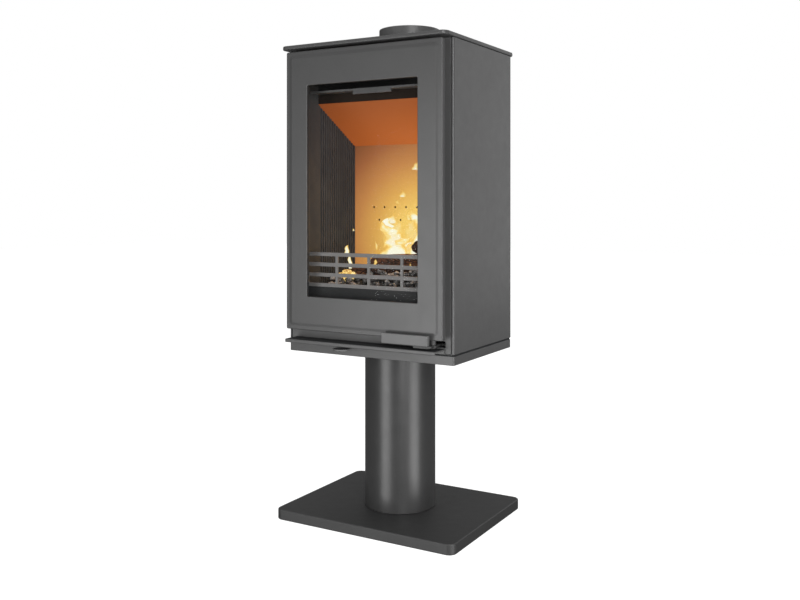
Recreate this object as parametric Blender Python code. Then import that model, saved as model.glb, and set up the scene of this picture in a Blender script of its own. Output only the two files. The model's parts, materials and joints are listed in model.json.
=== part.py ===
"""A wood burning stove on a round column, modelled as the separate parts it is assembled from.

Every length below is in millimetres, and solid() turns it into metres. X runs to the right of
someone who faces the door, Y runs from the door towards the back, and Z is up. The origin is on
the column's axis, at floor level.
"""

import math

import bpy

MM = 0.001
GAP = 0.3  # kept between parts that touch

# Driving dimensions of the outside
BASE_SIDE = 237.4
BASE_FRONT, BASE_BACK = -186.0, 183.9
BASE_HIGH = 24.5
COLUMN_RADIUS = 85.4
COLUMN_WALL = 4.0
BODY_SIDE = 221.2
BODY_FRONT, BODY_BACK = -148.7, 161.1
PLINTH_LOW, PLINTH_HIGH = 398.7, 420.4
PANEL_LOW, PANEL_HIGH = 421.1, 1115.6
PANEL_WALL = 4.8
CORNER_RADIUS = 4.5
TOP_SIDE = 221.3
TOP_FRONT, TOP_BACK = -187.2, 185.0
TOP_LOW, TOP_HIGH = 1116.0, 1125.2
FLUE_RADIUS = 75.0
FLUE_CENTRE = (0.0, 46.2)
FLUE_TOP = 1179.6

# The door and its window
DOOR_SIDE = 208.8
DOOR_LOW, DOOR_HIGH = 455.0, 1110.8
DOOR_FRONT, DOOR_REAR = -180.8, -166.8
DOOR_FACE_BACK = -172.8
DOOR_WALL = 5.5
RIM_WIDTH, RIM_STEP = 14.0, 2.4
WINDOW_SIDE = 147.8
WINDOW_LOW, WINDOW_HIGH = 534.1, 1029.2
GLASS_LAP = 15.0
GLASS_FRONT, GLASS_BACK = -171.3, -167.3
HINGE_AXIS = (-202.5, -160.0)
HINGE_PIN_RADIUS = 2.5
HINGE_BRACKET_LOW = (500.0, 1028.0)

# The rope seal runs round the frame's opening
OPENING_SIDE = 174.0
OPENING_LOW, OPENING_HIGH = 471.0, 1046.0
ROPE_INNER_SIDE, ROPE_INNER_LOW, ROPE_INNER_HIGH = 181.5, 468.5, 1053.0
ROPE_WIDTH = 10.0
ROPE_FRONT, ROPE_BACK = -162.2, -149.1
RIB_BACK = -157.0
RIB_LIP = 2.2

# The frame, the firebox and its linings
FRAME_BACK = -138.7
SHELL_SIDE, SHELL_WALL = 205.0, 4.0
SHELL_FRONT, SHELL_BACK = -138.3, 118.0
SHELL_LOW, SHELL_HIGH = 467.0, 1085.0
LEDGE_WIDTH = 11.0
HEARTH_LOW, HEARTH_HIGH = 528.0, 540.0
LINER_FACE = 185.0
REAR_FACE, REAR_THICK = 83.5, 15.0
RIB_COUNT, RIB_DEPTH = 16, 3.0
RIB_START = -72.0
BAFFLE_FRONT = (-81.0, 996.0)
BAFFLE_HEEL = (REAR_FACE, 902.3)
BAFFLE_THICK = 22.0
LINER_FRONT_TOP = 1040.0
AIR_HOLE_PITCH, AIR_HOLE_RADIUS = 31.6, 2.6
AIR_HOLE_ROWS = ((743.0, 9), (710.5, 8))
FENCE_FRONT, FENCE_BACK = -145.4, -141.4
FENCE_SIDE = 172.5
FENCE_BAR, FENCE_PITCH, FENCE_LOW = 8.6, 24.2, 555.5
FENCE_POST, FENCE_END = 6.6, 3.2
FENCE_POSTS_AT = (-88.0, 0.0, 88.0)

# The ash lip, the handle and the air control
LIP_SIDE, LIP_FRONT = 199.3, -196.9
LIP_LOW, LIP_HIGH = 426.0, 434.2
LIP_SCREWS_AT, LIP_SCREW_Z = (-120.0, 120.0), 427.0
GRIP_LEFT, GRIP_RIGHT = 65.0, 181.0
GRIP_LOW, GRIP_HIGH = 444.0, 466.4
GRIP_FRONT, GRIP_BACK = -196.0, -186.0
HANDLE_AXIS = (180.0, -169.0)
LEVER_LOW, LEVER_HIGH = 438.9, 443.7
POCKET = (158.0, 197.0, 436.5, 449.5)
TONGUE_CENTRE = (-53.5, -177.0)
TONGUE_RADIUS = 19.7
TONGUE_NECK = 12.0
TONGUE_LOW, TONGUE_HIGH = 415.9, 419.4
TONGUE_TAIL = -6.0
INTAKE_RADIUS = 40.0

# Finish: colour, roughness, metallic
FINISHES = {
    "cast_paint": ((0.105, 0.107, 0.110), 0.55, 0.35),
    "sheet_paint": ((0.100, 0.102, 0.105), 0.50, 0.35),
    "column_paint": ((0.090, 0.092, 0.096), 0.34, 0.60),
    "handle_paint": ((0.160, 0.162, 0.166), 0.42, 0.50),
    "firebox_iron": ((0.045, 0.040, 0.037), 0.80, 0.20),
    "hearth_stone": ((0.420, 0.300, 0.190), 0.92, 0.0),
    "fence_iron": ((0.170, 0.165, 0.160), 0.55, 0.60),
    "bright_steel": ((0.450, 0.450, 0.460), 0.35, 1.0),
    "clear_glass": ((0.900, 0.920, 0.930), 0.05, 0.0),
    "seal_rope": ((0.200, 0.195, 0.185), 0.95, 0.0),
}


def clear_scene():
    for old in list(bpy.data.objects):
        bpy.data.objects.remove(old, do_unlink=True)


def finish(name):
    made = bpy.data.materials.get(name)
    if made:
        return made
    colour, roughness, metallic = FINISHES[name]
    made = bpy.data.materials.new(name)
    made.use_nodes = True
    shader = made.node_tree.nodes["Principled BSDF"]
    shader.inputs["Base Color"].default_value = (*colour, 1.0)
    shader.inputs["Roughness"].default_value = roughness
    shader.inputs["Metallic"].default_value = metallic
    return made


# Outlines: lists of (u, v) points, anticlockwise


def rectangle(left, right, low, high):
    return [(left, low), (right, low), (right, high), (left, high)]


def rounded(left, right, low, high, radius, steps=4):
    """A rectangle whose four corners are arcs."""
    corners = (
        (right - radius, high - radius, 0.0),
        (left + radius, high - radius, 90.0),
        (left + radius, low + radius, 180.0),
        (right - radius, low + radius, 270.0),
    )
    points = []
    for u, v, start in corners:
        points += arc((u, v), radius, start, start + 90.0, steps)
    return points


def arc(centre, radius, start, end, steps):
    angles = [math.radians(start + (end - start) * i / steps) for i in range(steps + 1)]
    return [(centre[0] + radius * math.cos(a), centre[1] + radius * math.sin(a)) for a in angles]


def circle(centre, radius, sides):
    return arc(centre, radius, 0.0, 360.0, sides)[:-1]


# Solids


def along(axis, point, height):
    """The place of an outline's (u, v) point at a height along an axis."""
    u, v = point
    return {"X": (height, u, v), "Y": (u, height, v), "Z": (u, v, height)}[axis]


def solid(name, points, faces, look, pivot=(0.0, 0.0, 0.0)):
    """An object from points in millimetres, with its origin at the pivot."""
    mesh = bpy.data.meshes.new(name)
    local = [tuple((p - q) * MM for p, q in zip(point, pivot)) for point in points]
    mesh.from_pydata(local, [], faces)
    mesh.materials.append(finish(look))
    mesh.validate()
    mesh.shade_smooth()
    mesh.set_sharp_from_angle(angle=math.radians(32))
    made = bpy.data.objects.new(name, mesh)
    made.location = [q * MM for q in pivot]
    bpy.context.scene.collection.objects.link(made)
    return made


def facing_out(faces, axis):
    """A prism along Y has its outline's turning sense reversed, so its faces are turned round."""
    return [face[::-1] for face in faces] if axis == "Y" else faces


def prism(name, outline, low, high, look, axis="Z", pivot=(0.0, 0.0, 0.0)):
    """An outline extruded from low to high along an axis."""
    count = len(outline)
    points = [along(axis, point, height) for height in (low, high) for point in outline]
    faces = [tuple(reversed(range(count))), tuple(range(count, 2 * count))]
    for i in range(count):
        j = (i + 1) % count
        faces.append((i, j, count + j, count + i))
    return solid(name, points, facing_out(faces, axis), look, pivot)


def ring(name, outer, inner, low, high, look, axis="Z", pivot=(0.0, 0.0, 0.0)):
    """The space between two outlines with as many points each, extruded along an axis."""
    count = len(outer)
    points = [along(axis, p, height) for height in (low, high) for line in (outer, inner) for p in line]
    faces = []
    for i in range(count):
        j = (i + 1) % count
        faces.append((i, count + i, count + j, j))
        faces.append((2 * count + i, 2 * count + j, 3 * count + j, 3 * count + i))
        faces.append((i, j, 2 * count + j, 2 * count + i))
        faces.append((count + i, 3 * count + i, 3 * count + j, count + j))
    return solid(name, points, facing_out(faces, axis), look, pivot)


def box(name, left, right, front, back, low, high, look, pivot=(0.0, 0.0, 0.0)):
    return prism(name, rectangle(left, right, front, back), low, high, look, pivot=pivot)


def turned(name, profile, centre, sides, look, pivot=(0.0, 0.0, 0.0)):
    """A closed profile of (radius, z) points, anticlockwise with radius to the right, turned about Z."""
    count = len(profile)
    points = []
    for side in range(sides):
        angle = 2 * math.pi * side / sides
        for radius, z in profile:
            points.append((centre[0] + radius * math.cos(angle), centre[1] + radius * math.sin(angle), z))
    faces = []
    for side in range(sides):
        here, there = side * count, (side + 1) % sides * count
        for i in range(count):
            j = (i + 1) % count
            faces.append((here + i, there + i, there + j, here + j))
    return solid(name, points, faces, look, pivot)


def combine(target, operation, helpers):
    """Boolean modifiers on the target, one for each helper, which is kept out of the model."""
    for helper in helpers:
        helper.hide_render = True
        helper.display_type = "WIRE"
        modifier = target.modifiers.new(f"{operation.lower()}_{helper.name}", "BOOLEAN")
        modifier.operation = operation
        modifier.solver = "EXACT"
        modifier.object = helper
    return target


def cut(target, *helpers):
    return combine(target, "DIFFERENCE", helpers)


def join(target, *helpers):
    return combine(target, "UNION", helpers)


def soften(target, width, segments=2, angle=50.0):
    """A rounding of the edges sharper than an angle."""
    modifier = target.modifiers.new("rounded_edges", "BEVEL")
    modifier.width = width * MM
    modifier.segments = segments
    modifier.limit_method = "ANGLE"
    modifier.angle_limit = math.radians(angle)
    return target


def axis_empty(name, place, parent=None):
    """An empty on a joint's axis, which the moving parts hang from."""
    made = bpy.data.objects.new(name, None)
    made.empty_display_size = 0.03
    bpy.context.scene.collection.objects.link(made)
    made.location = [value * MM for value in place]
    if parent:
        hang(made, parent)
    return made


def hang(child, parent):
    bpy.context.view_layer.update()
    child.parent = parent
    child.matrix_parent_inverse = parent.matrix_world.inverted()


# The stand


def base():
    """A plate that is hollow underneath, with a solid boss in the middle that the column's bolts go into."""
    slab = prism("base_plate", rounded(-BASE_SIDE, BASE_SIDE, BASE_FRONT, BASE_BACK, 18.6, 6), 0.0,
                 BASE_HIGH, "sheet_paint")
    soften(slab, 1.4, 2)
    rim, skin, boss_radius = 12.0, 8.0, 82.0
    hollow = prism("base_hollow", rounded(-BASE_SIDE + rim, BASE_SIDE - rim, BASE_FRONT + rim,
                                          BASE_BACK - rim, 8.0, 3), -5.0, BASE_HIGH - skin, "sheet_paint")
    cut(hollow, prism("base_boss", circle((0.0, 0.0), boss_radius, 48), -10.0, BASE_HIGH, "sheet_paint"))
    holes = [prism(f"base_bolt_hole_{i + 1}", circle(place, 4.4, 12), -5.0, BASE_HIGH + 5.0, "sheet_paint")
             for i, place in enumerate(bolt_places())]
    cut(slab, hollow, *holes)


def bolt_places():
    return arc((0.0, 0.0), 65.0, 50.0, 290.0, 2)


def bolt(name, centre, head_low, head_high, shank_end, head_radius, shank_radius, pivot=(0.0, 0.0, 0.0)):
    """A hexagon bolt along Z: its head between two heights, and its shank from the head to shank_end."""
    head = prism(name, circle(centre, head_radius, 6), head_low, head_high, "bright_steel", pivot=pivot)
    middle = (head_low + head_high) / 2
    low, high = sorted((middle, shank_end))
    shank = prism(f"{name}_shank", circle(centre, shank_radius, 12), low, high, "bright_steel")
    return join(head, shank)


def column():
    """The round tube, with an air inlet low in its back, and the flanges that bolt it at both ends."""
    inner = COLUMN_RADIUS - COLUMN_WALL
    tube = ring("column_tube", circle((0.0, 0.0), COLUMN_RADIUS, 64), circle((0.0, 0.0), inner, 64),
                BASE_HIGH + GAP, PLINTH_LOW - GAP, "column_paint")
    cut(tube, prism("column_air_inlet", rounded(-34.0, 34.0, 62.0, 102.0, 12.0, 4), 50.0,
                    COLUMN_RADIUS + 5.0, "column_paint", "Y"))
    foot_low, thick = BASE_HIGH + GAP, 8.0
    head_high = PLINTH_LOW - GAP
    for name, low in (("column_foot_ring", foot_low), ("column_head_ring", head_high - thick)):
        flange = ring(name, circle((0.0, 0.0), inner - GAP, 48), circle((0.0, 0.0), 50.0, 48),
                      low, low + thick, "sheet_paint")
        cut(flange, *[prism(f"{name}_hole_{i + 1}", circle(place, 4.4, 12), low - 5.0, low + thick + 5.0,
                            "sheet_paint") for i, place in enumerate(bolt_places())])
    for i, place in enumerate(bolt_places()):
        washer_top = foot_low + thick + GAP
        bolt(f"foot_bolt_{i + 1}", place, washer_top, washer_top + 5.3, BASE_HIGH - 8.0 + 1.0, 7.5, 4.0)
        under = head_high - thick - GAP
        bolt(f"head_bolt_{i + 1}", place, under - 5.3, under, PLINTH_LOW + 4.6, 7.5, 4.0)


# The outer body


def plinth():
    floor, wall = 5.0, 6.0
    tray = prism("plinth", rounded(-BODY_SIDE, BODY_SIDE, BODY_FRONT, BODY_BACK, CORNER_RADIUS, 3),
                 PLINTH_LOW, PLINTH_HIGH, "cast_paint")
    hollow = box("plinth_hollow", -BODY_SIDE + wall, BODY_SIDE - wall, BODY_FRONT + wall, BODY_BACK - wall,
                 PLINTH_LOW + floor, PLINTH_HIGH + 5.0, "cast_paint")
    slot_side = TONGUE_NECK + 0.6
    slot = box("plinth_slot", TONGUE_CENTRE[0] - slot_side, TONGUE_CENTRE[0] + slot_side, BODY_FRONT - 5.0,
               BODY_FRONT + wall + 5.0, TONGUE_LOW - 0.5, PLINTH_HIGH + 5.0, "cast_paint")
    duct = prism("plinth_duct_hole", circle((0.0, 0.0), INTAKE_RADIUS + 3.0 + GAP, 32), PLINTH_LOW - 5.0,
                 PLINTH_LOW + floor + 5.0, "cast_paint")
    holes = [prism(f"plinth_bolt_hole_{i + 1}", circle(place, 4.4, 12), PLINTH_LOW - 5.0,
                   PLINTH_LOW + floor + 5.0, "cast_paint") for i, place in enumerate(bolt_places())]
    cut(tray, hollow, slot, duct, *holes)


def air_intake():
    """The short duct that brings room air up through the column and the plinth's floor."""
    inner, outer = INTAKE_RADIUS, INTAKE_RADIUS + 3.0
    flange_low = PLINTH_LOW + 5.0 + GAP
    turned("air_intake_collar",
           [(inner, 360.0), (outer, 360.0), (outer, flange_low), (outer + 9.0, flange_low),
            (outer + 9.0, flange_low + 3.0), (outer, flange_low + 3.0), (outer, 411.5), (inner, 411.5)],
           (0.0, 0.0), 32, "firebox_iron")


def side_panels():
    for side, name in ((-1, "side_panel_left"), (1, "side_panel_right")):
        inner, outer = BODY_SIDE - PANEL_WALL, BODY_SIDE
        outline = [(inner, BODY_BACK), (inner, BODY_FRONT + 0.4), (inner + 0.4, BODY_FRONT)]
        outline += arc((outer - CORNER_RADIUS + 0.4, BODY_FRONT + CORNER_RADIUS - 0.4), CORNER_RADIUS - 0.4,
                       270.0, 360.0, 4)
        outline += arc((outer - 1.5, BODY_BACK - 1.5), 1.5, 0.0, 90.0, 2)
        if side < 0:
            outline = [(-u, v) for u, v in reversed(outline)]
        prism(name, outline, PANEL_LOW, PANEL_HIGH, "cast_paint")


def back_panel():
    side = BODY_SIDE - PANEL_WALL - 0.5
    sheet = box("back_panel", -side, side, BODY_BACK - 4.0, BODY_BACK, PANEL_LOW, PANEL_HIGH, "sheet_paint")
    vents = []
    for row, z in enumerate((445.0, 462.0, 1072.0, 1089.0)):
        for column_number in range(4):
            centre = -129.0 + 86.0 * column_number
            vents.append(prism(f"back_vent_{row + 1}_{column_number + 1}",
                               rounded(centre - 31.0, centre + 31.0, z, z + 7.0, 3.4, 2),
                               BODY_BACK - 8.0, BODY_BACK + 4.0, "sheet_paint", "Y"))
    cut(sheet, *vents)
    cover_centre = (0.0, 985.0)
    cover = prism("rear_outlet_cover", circle(cover_centre, 86.0, 48), BODY_BACK + GAP, BODY_BACK + 3.3,
                  "cast_paint", "Y")
    soften(cover, 1.0, 2)


def front_frame():
    side = BODY_SIDE - PANEL_WALL - 0.5
    outer = rounded(-side, side, PANEL_LOW, PANEL_HIGH, 0.8, 2)
    inner = rounded(-OPENING_SIDE, OPENING_SIDE, OPENING_LOW, OPENING_HIGH, 6.0, 2)
    frame = ring("front_frame", outer, inner, BODY_FRONT, FRAME_BACK, "cast_paint", "Y")
    left, right, low, high = POCKET
    pocket = box("frame_pocket", left, right, BODY_FRONT - 5.0, FRAME_BACK + 5.0, low, high, "cast_paint")
    holes = [prism(f"frame_lip_hole_{i + 1}", circle((x, LIP_SCREW_Z), 2.9, 12), BODY_FRONT - 5.0,
                   FRAME_BACK + 5.0, "cast_paint", "Y") for i, x in enumerate(LIP_SCREWS_AT)]
    cut(frame, pocket, *holes)


def top_plate():
    outline = rounded(-TOP_SIDE, TOP_SIDE, TOP_FRONT, TOP_BACK, 17.0, 6)
    plate = prism("top_plate", outline, TOP_LOW, TOP_HIGH, "cast_paint")
    soften(plate, 1.8, 2)
    hole = prism("top_flue_hole", circle(FLUE_CENTRE, FLUE_RADIUS + 0.6, 64), TOP_LOW - 5.0, TOP_HIGH + 5.0,
                 "cast_paint")
    cut(plate, hole)


def flue_collar():
    inner = FLUE_RADIUS - 3.5
    low = SHELL_HIGH + GAP
    turned("flue_collar",
           [(inner, low), (FLUE_RADIUS + 13.0, low), (FLUE_RADIUS + 13.0, low + 5.0),
            (FLUE_RADIUS, low + 5.0), (FLUE_RADIUS, FLUE_TOP - 1.2), (FLUE_RADIUS - 1.2, FLUE_TOP),
            (inner, FLUE_TOP)], FLUE_CENTRE, 64, "cast_paint")


def tie_rods():
    """Rods in the gap between the firebox and the side panels, which pull the top onto the plinth."""
    for i, (x, y) in enumerate(((-210.7, -110.0), (210.7, -110.0), (-210.7, 135.0), (210.7, 135.0))):
        prism(f"tie_rod_{i + 1}", circle((x, y), 3.2, 10), PLINTH_LOW + 5.0 + GAP, TOP_LOW - GAP,
              "bright_steel")


# The firebox


def firebox_shell():
    shell = box("firebox_shell", -SHELL_SIDE, SHELL_SIDE, SHELL_FRONT, SHELL_BACK, SHELL_LOW, SHELL_HIGH,
                "firebox_iron")
    inner_side = SHELL_SIDE - SHELL_WALL
    hollow = box("shell_hollow", -inner_side, inner_side, SHELL_FRONT - 5.0, SHELL_BACK - SHELL_WALL,
                 SHELL_LOW + SHELL_WALL, SHELL_HIGH - SHELL_WALL, "firebox_iron")
    flue = prism("shell_flue_hole", circle(FLUE_CENTRE, FLUE_RADIUS - 3.5, 48), SHELL_HIGH - 10.0,
                 SHELL_HIGH + 5.0, "firebox_iron")
    air = prism("shell_air_hole", circle((0.0, 95.0), 14.0, 16), SHELL_LOW - 5.0, SHELL_LOW + 10.0,
                "firebox_iron")
    cut(shell, hollow, flue, air)
    ledges = []
    for side in (-1, 1):
        left, right = sorted((side * (inner_side + 1.0), side * (inner_side - LEDGE_WIDTH)))
        for name, low, back in (("hearth", HEARTH_LOW - 6.0, SHELL_BACK - SHELL_WALL + 1.0),
                                ("smoke", 1047.0, 0.0)):
            ledges.append(box(f"shell_ledge_{name}_{side}", left, right, SHELL_FRONT + 12.0, back,
                              low, low + 5.7, "firebox_iron"))
    join(shell, *ledges)


def linings():
    hearth_side = SHELL_SIDE - SHELL_WALL - 0.4
    hearth = box("hearth_plate", -hearth_side, hearth_side, SHELL_FRONT + 0.4, SHELL_BACK - SHELL_WALL - GAP,
                 HEARTH_LOW, HEARTH_HIGH, "firebox_iron")
    grate_left, grate_right, grate_front, grate_back = -90.0, 90.0, -72.0, 42.0
    cut(hearth, box("hearth_well", grate_left - 0.5, grate_right + 0.5, grate_front - 0.5, grate_back + 0.5,
                    HEARTH_LOW + 5.0, HEARTH_HIGH + 5.0, "firebox_iron"),
        box("hearth_throat", grate_left + 5.0, grate_right - 5.0, grate_front + 5.0, grate_back - 5.0,
            HEARTH_LOW - 5.0, HEARTH_LOW + 8.0, "firebox_iron"))
    grate = box("grate", grate_left, grate_right, grate_front, grate_back, HEARTH_LOW + 5.0 + GAP,
                HEARTH_HIGH, "firebox_iron")
    slots = []
    for i in range(9):
        x = -72.0 + 18.0 * i
        slots.append(box(f"grate_slot_{i + 1}", x - 4.5, x + 4.5, grate_front + 12.0, grate_back - 12.0,
                         HEARTH_LOW, HEARTH_HIGH + 5.0, "firebox_iron"))
    cut(grate, *slots)
    side_linings()
    rear_lining()


def side_linings():
    """Cast side linings, ribbed from the middle to the back, whose tops step down to carry the baffle."""
    outer = SHELL_SIDE - SHELL_WALL - GAP
    plain = LINER_FACE
    pitch = (REAR_FACE - RIB_START) / RIB_COUNT
    face = [(plain, SHELL_FRONT + 1.0)]
    for i in range(RIB_COUNT):
        start = RIB_START + pitch * i
        face += [(plain, start), (plain + RIB_DEPTH, start + pitch * 0.15),
                 (plain + RIB_DEPTH, start + pitch * 0.45), (plain, start + pitch * 0.60)]
    face += [(plain, REAR_FACE + REAR_THICK)]
    outline = [(outer, SHELL_FRONT + 1.0), (outer, REAR_FACE + REAR_THICK)] + face[::-1]
    front_y, front_z = BAFFLE_FRONT[0] - 0.4, BAFFLE_FRONT[1] - GAP
    back_y = REAR_FACE + REAR_THICK + 10.0
    shoulder = [(front_y, LINER_FRONT_TOP + 10.0), (front_y, front_z), (REAR_FACE, BAFFLE_HEEL[1] - GAP),
                (back_y, BAFFLE_HEEL[1] - GAP), (back_y, LINER_FRONT_TOP + 10.0)]
    for side, name in ((-1, "liner_left"), (1, "liner_right")):
        plan = [(side * u, v) for u, v in (outline if side > 0 else outline[::-1])]
        liner = prism(name, plan, HEARTH_HIGH + GAP, LINER_FRONT_TOP, "firebox_iron")
        left, right = sorted((side * (plain - 20.0), side * (outer + 20.0)))
        cut(liner, prism(f"{name}_shoulder", shoulder, left, right, "firebox_iron", "X"))


def rear_lining():
    side = LINER_FACE - 0.4
    liner = box("liner_rear", -side, side, REAR_FACE, REAR_FACE + REAR_THICK, HEARTH_HIGH + GAP,
                BAFFLE_HEEL[1] - GAP, "hearth_stone")
    holes = []
    for row, (z, count) in enumerate(AIR_HOLE_ROWS):
        for i in range(count):
            x = AIR_HOLE_PITCH * (i - (count - 1) / 2)
            holes.append(prism(f"air_hole_{row + 1}_{i + 1}", circle((x, z), AIR_HOLE_RADIUS, 8),
                               REAR_FACE - 5.0, REAR_FACE + REAR_THICK + 5.0, "hearth_stone", "Y"))
    cut(liner, *holes)
    duct_front = REAR_FACE + REAR_THICK + GAP
    duct_back = SHELL_BACK - SHELL_WALL - GAP
    duct = box("secondary_air_duct", -155.0, 155.0, duct_front, duct_back, HEARTH_HIGH + GAP, 765.0,
               "sheet_paint")
    cut(duct, box("duct_hollow", -152.0, 152.0, duct_front - 5.0, duct_back - 3.0, HEARTH_HIGH - 5.0, 762.0,
                  "sheet_paint"))


def baffles():
    """The sloping baffle over the fire, with a flat heel on the rear lining, and the smoke plate above."""
    run = math.hypot(BAFFLE_HEEL[0] - BAFFLE_FRONT[0], BAFFLE_HEEL[1] - BAFFLE_FRONT[1])
    rise = BAFFLE_THICK * run / (BAFFLE_HEEL[0] - BAFFLE_FRONT[0])
    slope = (BAFFLE_HEEL[1] - BAFFLE_FRONT[1]) / (BAFFLE_HEEL[0] - BAFFLE_FRONT[0])
    heel_back = REAR_FACE + REAR_THICK
    outline = [BAFFLE_FRONT, BAFFLE_HEEL, (heel_back, BAFFLE_HEEL[1]),
               (heel_back, BAFFLE_FRONT[1] + slope * (heel_back - BAFFLE_FRONT[0]) + rise),
               (BAFFLE_FRONT[0], BAFFLE_FRONT[1] + rise)]
    side = SHELL_SIDE - SHELL_WALL - 0.5
    prism("baffle", outline, -side, side, "hearth_stone", "X")
    box("smoke_plate", -side, side, SHELL_FRONT + 1.0, -8.0, 1053.0, 1057.0, "firebox_iron")


def fence_and_sill():
    """A low fence behind the glass that keeps logs back, standing on a plain sill plate."""
    box("hearth_sill", -OPENING_SIDE + 2.0, OPENING_SIDE - 2.0, FENCE_FRONT, FENCE_BACK, HEARTH_LOW - 12.0,
        FENCE_LOW - GAP, "firebox_iron")
    top = FENCE_LOW + 3 * FENCE_PITCH + FENCE_BAR
    spans = [(x - FENCE_POST / 2, x + FENCE_POST / 2) for x in FENCE_POSTS_AT]
    spans += [(-FENCE_SIDE + 0.2, -FENCE_SIDE + FENCE_END), (FENCE_SIDE - FENCE_END, FENCE_SIDE - 0.2)]
    posts = [box(f"fence_post_{i + 1}", left, right, FENCE_FRONT + 0.6, FENCE_BACK - 0.6, FENCE_LOW + 1.0,
                 top - 1.0, "fence_iron")
             for i, (left, right) in enumerate(spans)]
    bars = []
    for i in range(4):
        low = FENCE_LOW + i * FENCE_PITCH
        bars.append(box("log_fence" if i == 0 else f"fence_bar_{i + 1}", -FENCE_SIDE, FENCE_SIDE,
                        FENCE_FRONT, FENCE_BACK, low, low + FENCE_BAR, "fence_iron"))
    join(bars[0], *posts, *bars[1:])


def air_wash_deflector():
    """A strip across the top of the opening with a tab in the middle, which turns air down the glass."""
    strip_low, strip_high, tab_low, tab_side = 1015.6, 1020.2, 1007.6, 52.0
    side = OPENING_SIDE - 1.0
    face = [(-side, strip_low), (-tab_side, strip_low), (-tab_side, tab_low), (tab_side, tab_low),
            (tab_side, strip_low), (side, strip_low), (side, strip_high), (-side, strip_high)]
    deflector = prism("air_wash_deflector", face, -131.5, -128.5, "fence_iron", "Y")
    join(deflector, box("deflector_shelf", -side, side, -131.0, -90.0, strip_high - 2.5,
                        strip_high + 0.5, "fence_iron"))


def ash_pan():
    low = SHELL_LOW + SHELL_WALL + GAP
    pan = box("ash_pan", -118.0, 118.0, -132.0, 70.0, low, low + 42.0, "sheet_paint")
    cut(pan, box("pan_hollow", -116.4, 116.4, -130.4, 68.4, low + 1.6, low + 50.0, "sheet_paint"))
    join(pan, box("pan_pull", -35.0, 35.0, -139.0, -131.0, low + 30.0, low + 34.0, "sheet_paint"))


# The door


def door(hinge):
    pivot = (*HINGE_AXIS, DOOR_LOW)
    rim_front = DOOR_FRONT + RIM_STEP
    leaf = prism("door_casting", rounded(-DOOR_SIDE, DOOR_SIDE, DOOR_LOW, DOOR_HIGH, 4.0, 3), rim_front,
                 DOOR_REAR, "cast_paint", "Y", pivot)
    soften(leaf, 1.5, 2)
    field = prism("door_field", rounded(-DOOR_SIDE + RIM_WIDTH, DOOR_SIDE - RIM_WIDTH, DOOR_LOW + RIM_WIDTH,
                                        DOOR_HIGH - RIM_WIDTH, 12.0, 5), DOOR_FRONT, rim_front + 4.0,
                  "cast_paint", "Y")
    soften(field, 1.6, 2)
    inner_side = DOOR_SIDE - DOOR_WALL
    back_hollow = box("door_back_hollow", -inner_side, inner_side, DOOR_FACE_BACK, DOOR_REAR + 5.0,
                      DOOR_LOW + DOOR_WALL, DOOR_HIGH - DOOR_WALL, "cast_paint")
    join(leaf, field)
    cut(leaf, back_hollow)
    join(leaf, seal_rib(), *glass_bosses(), *hinge_lugs(), latch_boss())
    window = prism("door_window", rounded(-WINDOW_SIDE, WINDOW_SIDE, WINDOW_LOW, WINDOW_HIGH, 3.0, 2),
                   DOOR_FRONT - 5.0, DOOR_FACE_BACK + 5.0, "cast_paint", "Y")
    pin_holes = [prism(f"door_pin_hole_{i + 1}", circle(HINGE_AXIS, HINGE_PIN_RADIUS + GAP, 16), low,
                       low + 24.0, "cast_paint") for i, low in enumerate(HINGE_BRACKET_LOW)]
    latch_hole = prism("door_latch_hole", circle(HANDLE_AXIS, 3.3, 16), GRIP_LOW - 5.0, DOOR_LOW + 3.0,
                       "cast_paint")
    screw_holes = [prism(f"door_screw_hole_{i + 1}", circle(place, 2.3, 10), GLASS_FRONT, DOOR_REAR + 5.0,
                         "cast_paint", "Y") for i, place in enumerate(screw_places())]
    cut(leaf, window, *pin_holes, latch_hole, *screw_holes)
    hang(leaf, hinge)
    for part in glazing(pivot) + [rope_seal(pivot)]:
        hang(part, hinge)


def seal_rib():
    """The channel on the door's back that holds the rope."""
    inner_side = ROPE_INNER_SIDE - GAP
    outer_side = ROPE_INNER_SIDE + ROPE_WIDTH + GAP
    spans = ((outer_side + RIB_LIP, ROPE_INNER_LOW - ROPE_WIDTH - GAP - RIB_LIP,
              ROPE_INNER_HIGH + ROPE_WIDTH + GAP + RIB_LIP),
             (inner_side - RIB_LIP, ROPE_INNER_LOW + GAP + RIB_LIP, ROPE_INNER_HIGH - GAP - RIB_LIP))
    outer, inner = [rounded(-side, side, low, high, 8.0, 3) for side, low, high in spans]
    rib = ring("door_seal_rib", outer, inner, DOOR_FACE_BACK - 2.0, RIB_BACK, "cast_paint", "Y")
    groove_outer = rounded(-outer_side, outer_side, ROPE_INNER_LOW - ROPE_WIDTH - GAP,
                           ROPE_INNER_HIGH + ROPE_WIDTH + GAP, 8.0, 3)
    groove_inner = rounded(-inner_side, inner_side, ROPE_INNER_LOW + GAP, ROPE_INNER_HIGH - GAP, 8.0, 3)
    groove = ring("door_seal_groove", groove_outer, groove_inner, ROPE_FRONT - GAP, RIB_BACK + 5.0,
                  "cast_paint", "Y")
    return cut(rib, groove)


def rope_seal(pivot):
    outer_side = ROPE_INNER_SIDE + ROPE_WIDTH
    outer = rounded(-outer_side, outer_side, ROPE_INNER_LOW - ROPE_WIDTH, ROPE_INNER_HIGH + ROPE_WIDTH,
                    8.0, 3)
    inner = rounded(-ROPE_INNER_SIDE, ROPE_INNER_SIDE, ROPE_INNER_LOW, ROPE_INNER_HIGH, 8.0, 3)
    return ring("door_rope_seal", outer, inner, ROPE_FRONT, ROPE_BACK, "seal_rope", "Y", pivot)


def screw_places():
    return [(side * 171.0, z) for side in (-1, 1) for z in (610.0, 955.0)]


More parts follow.
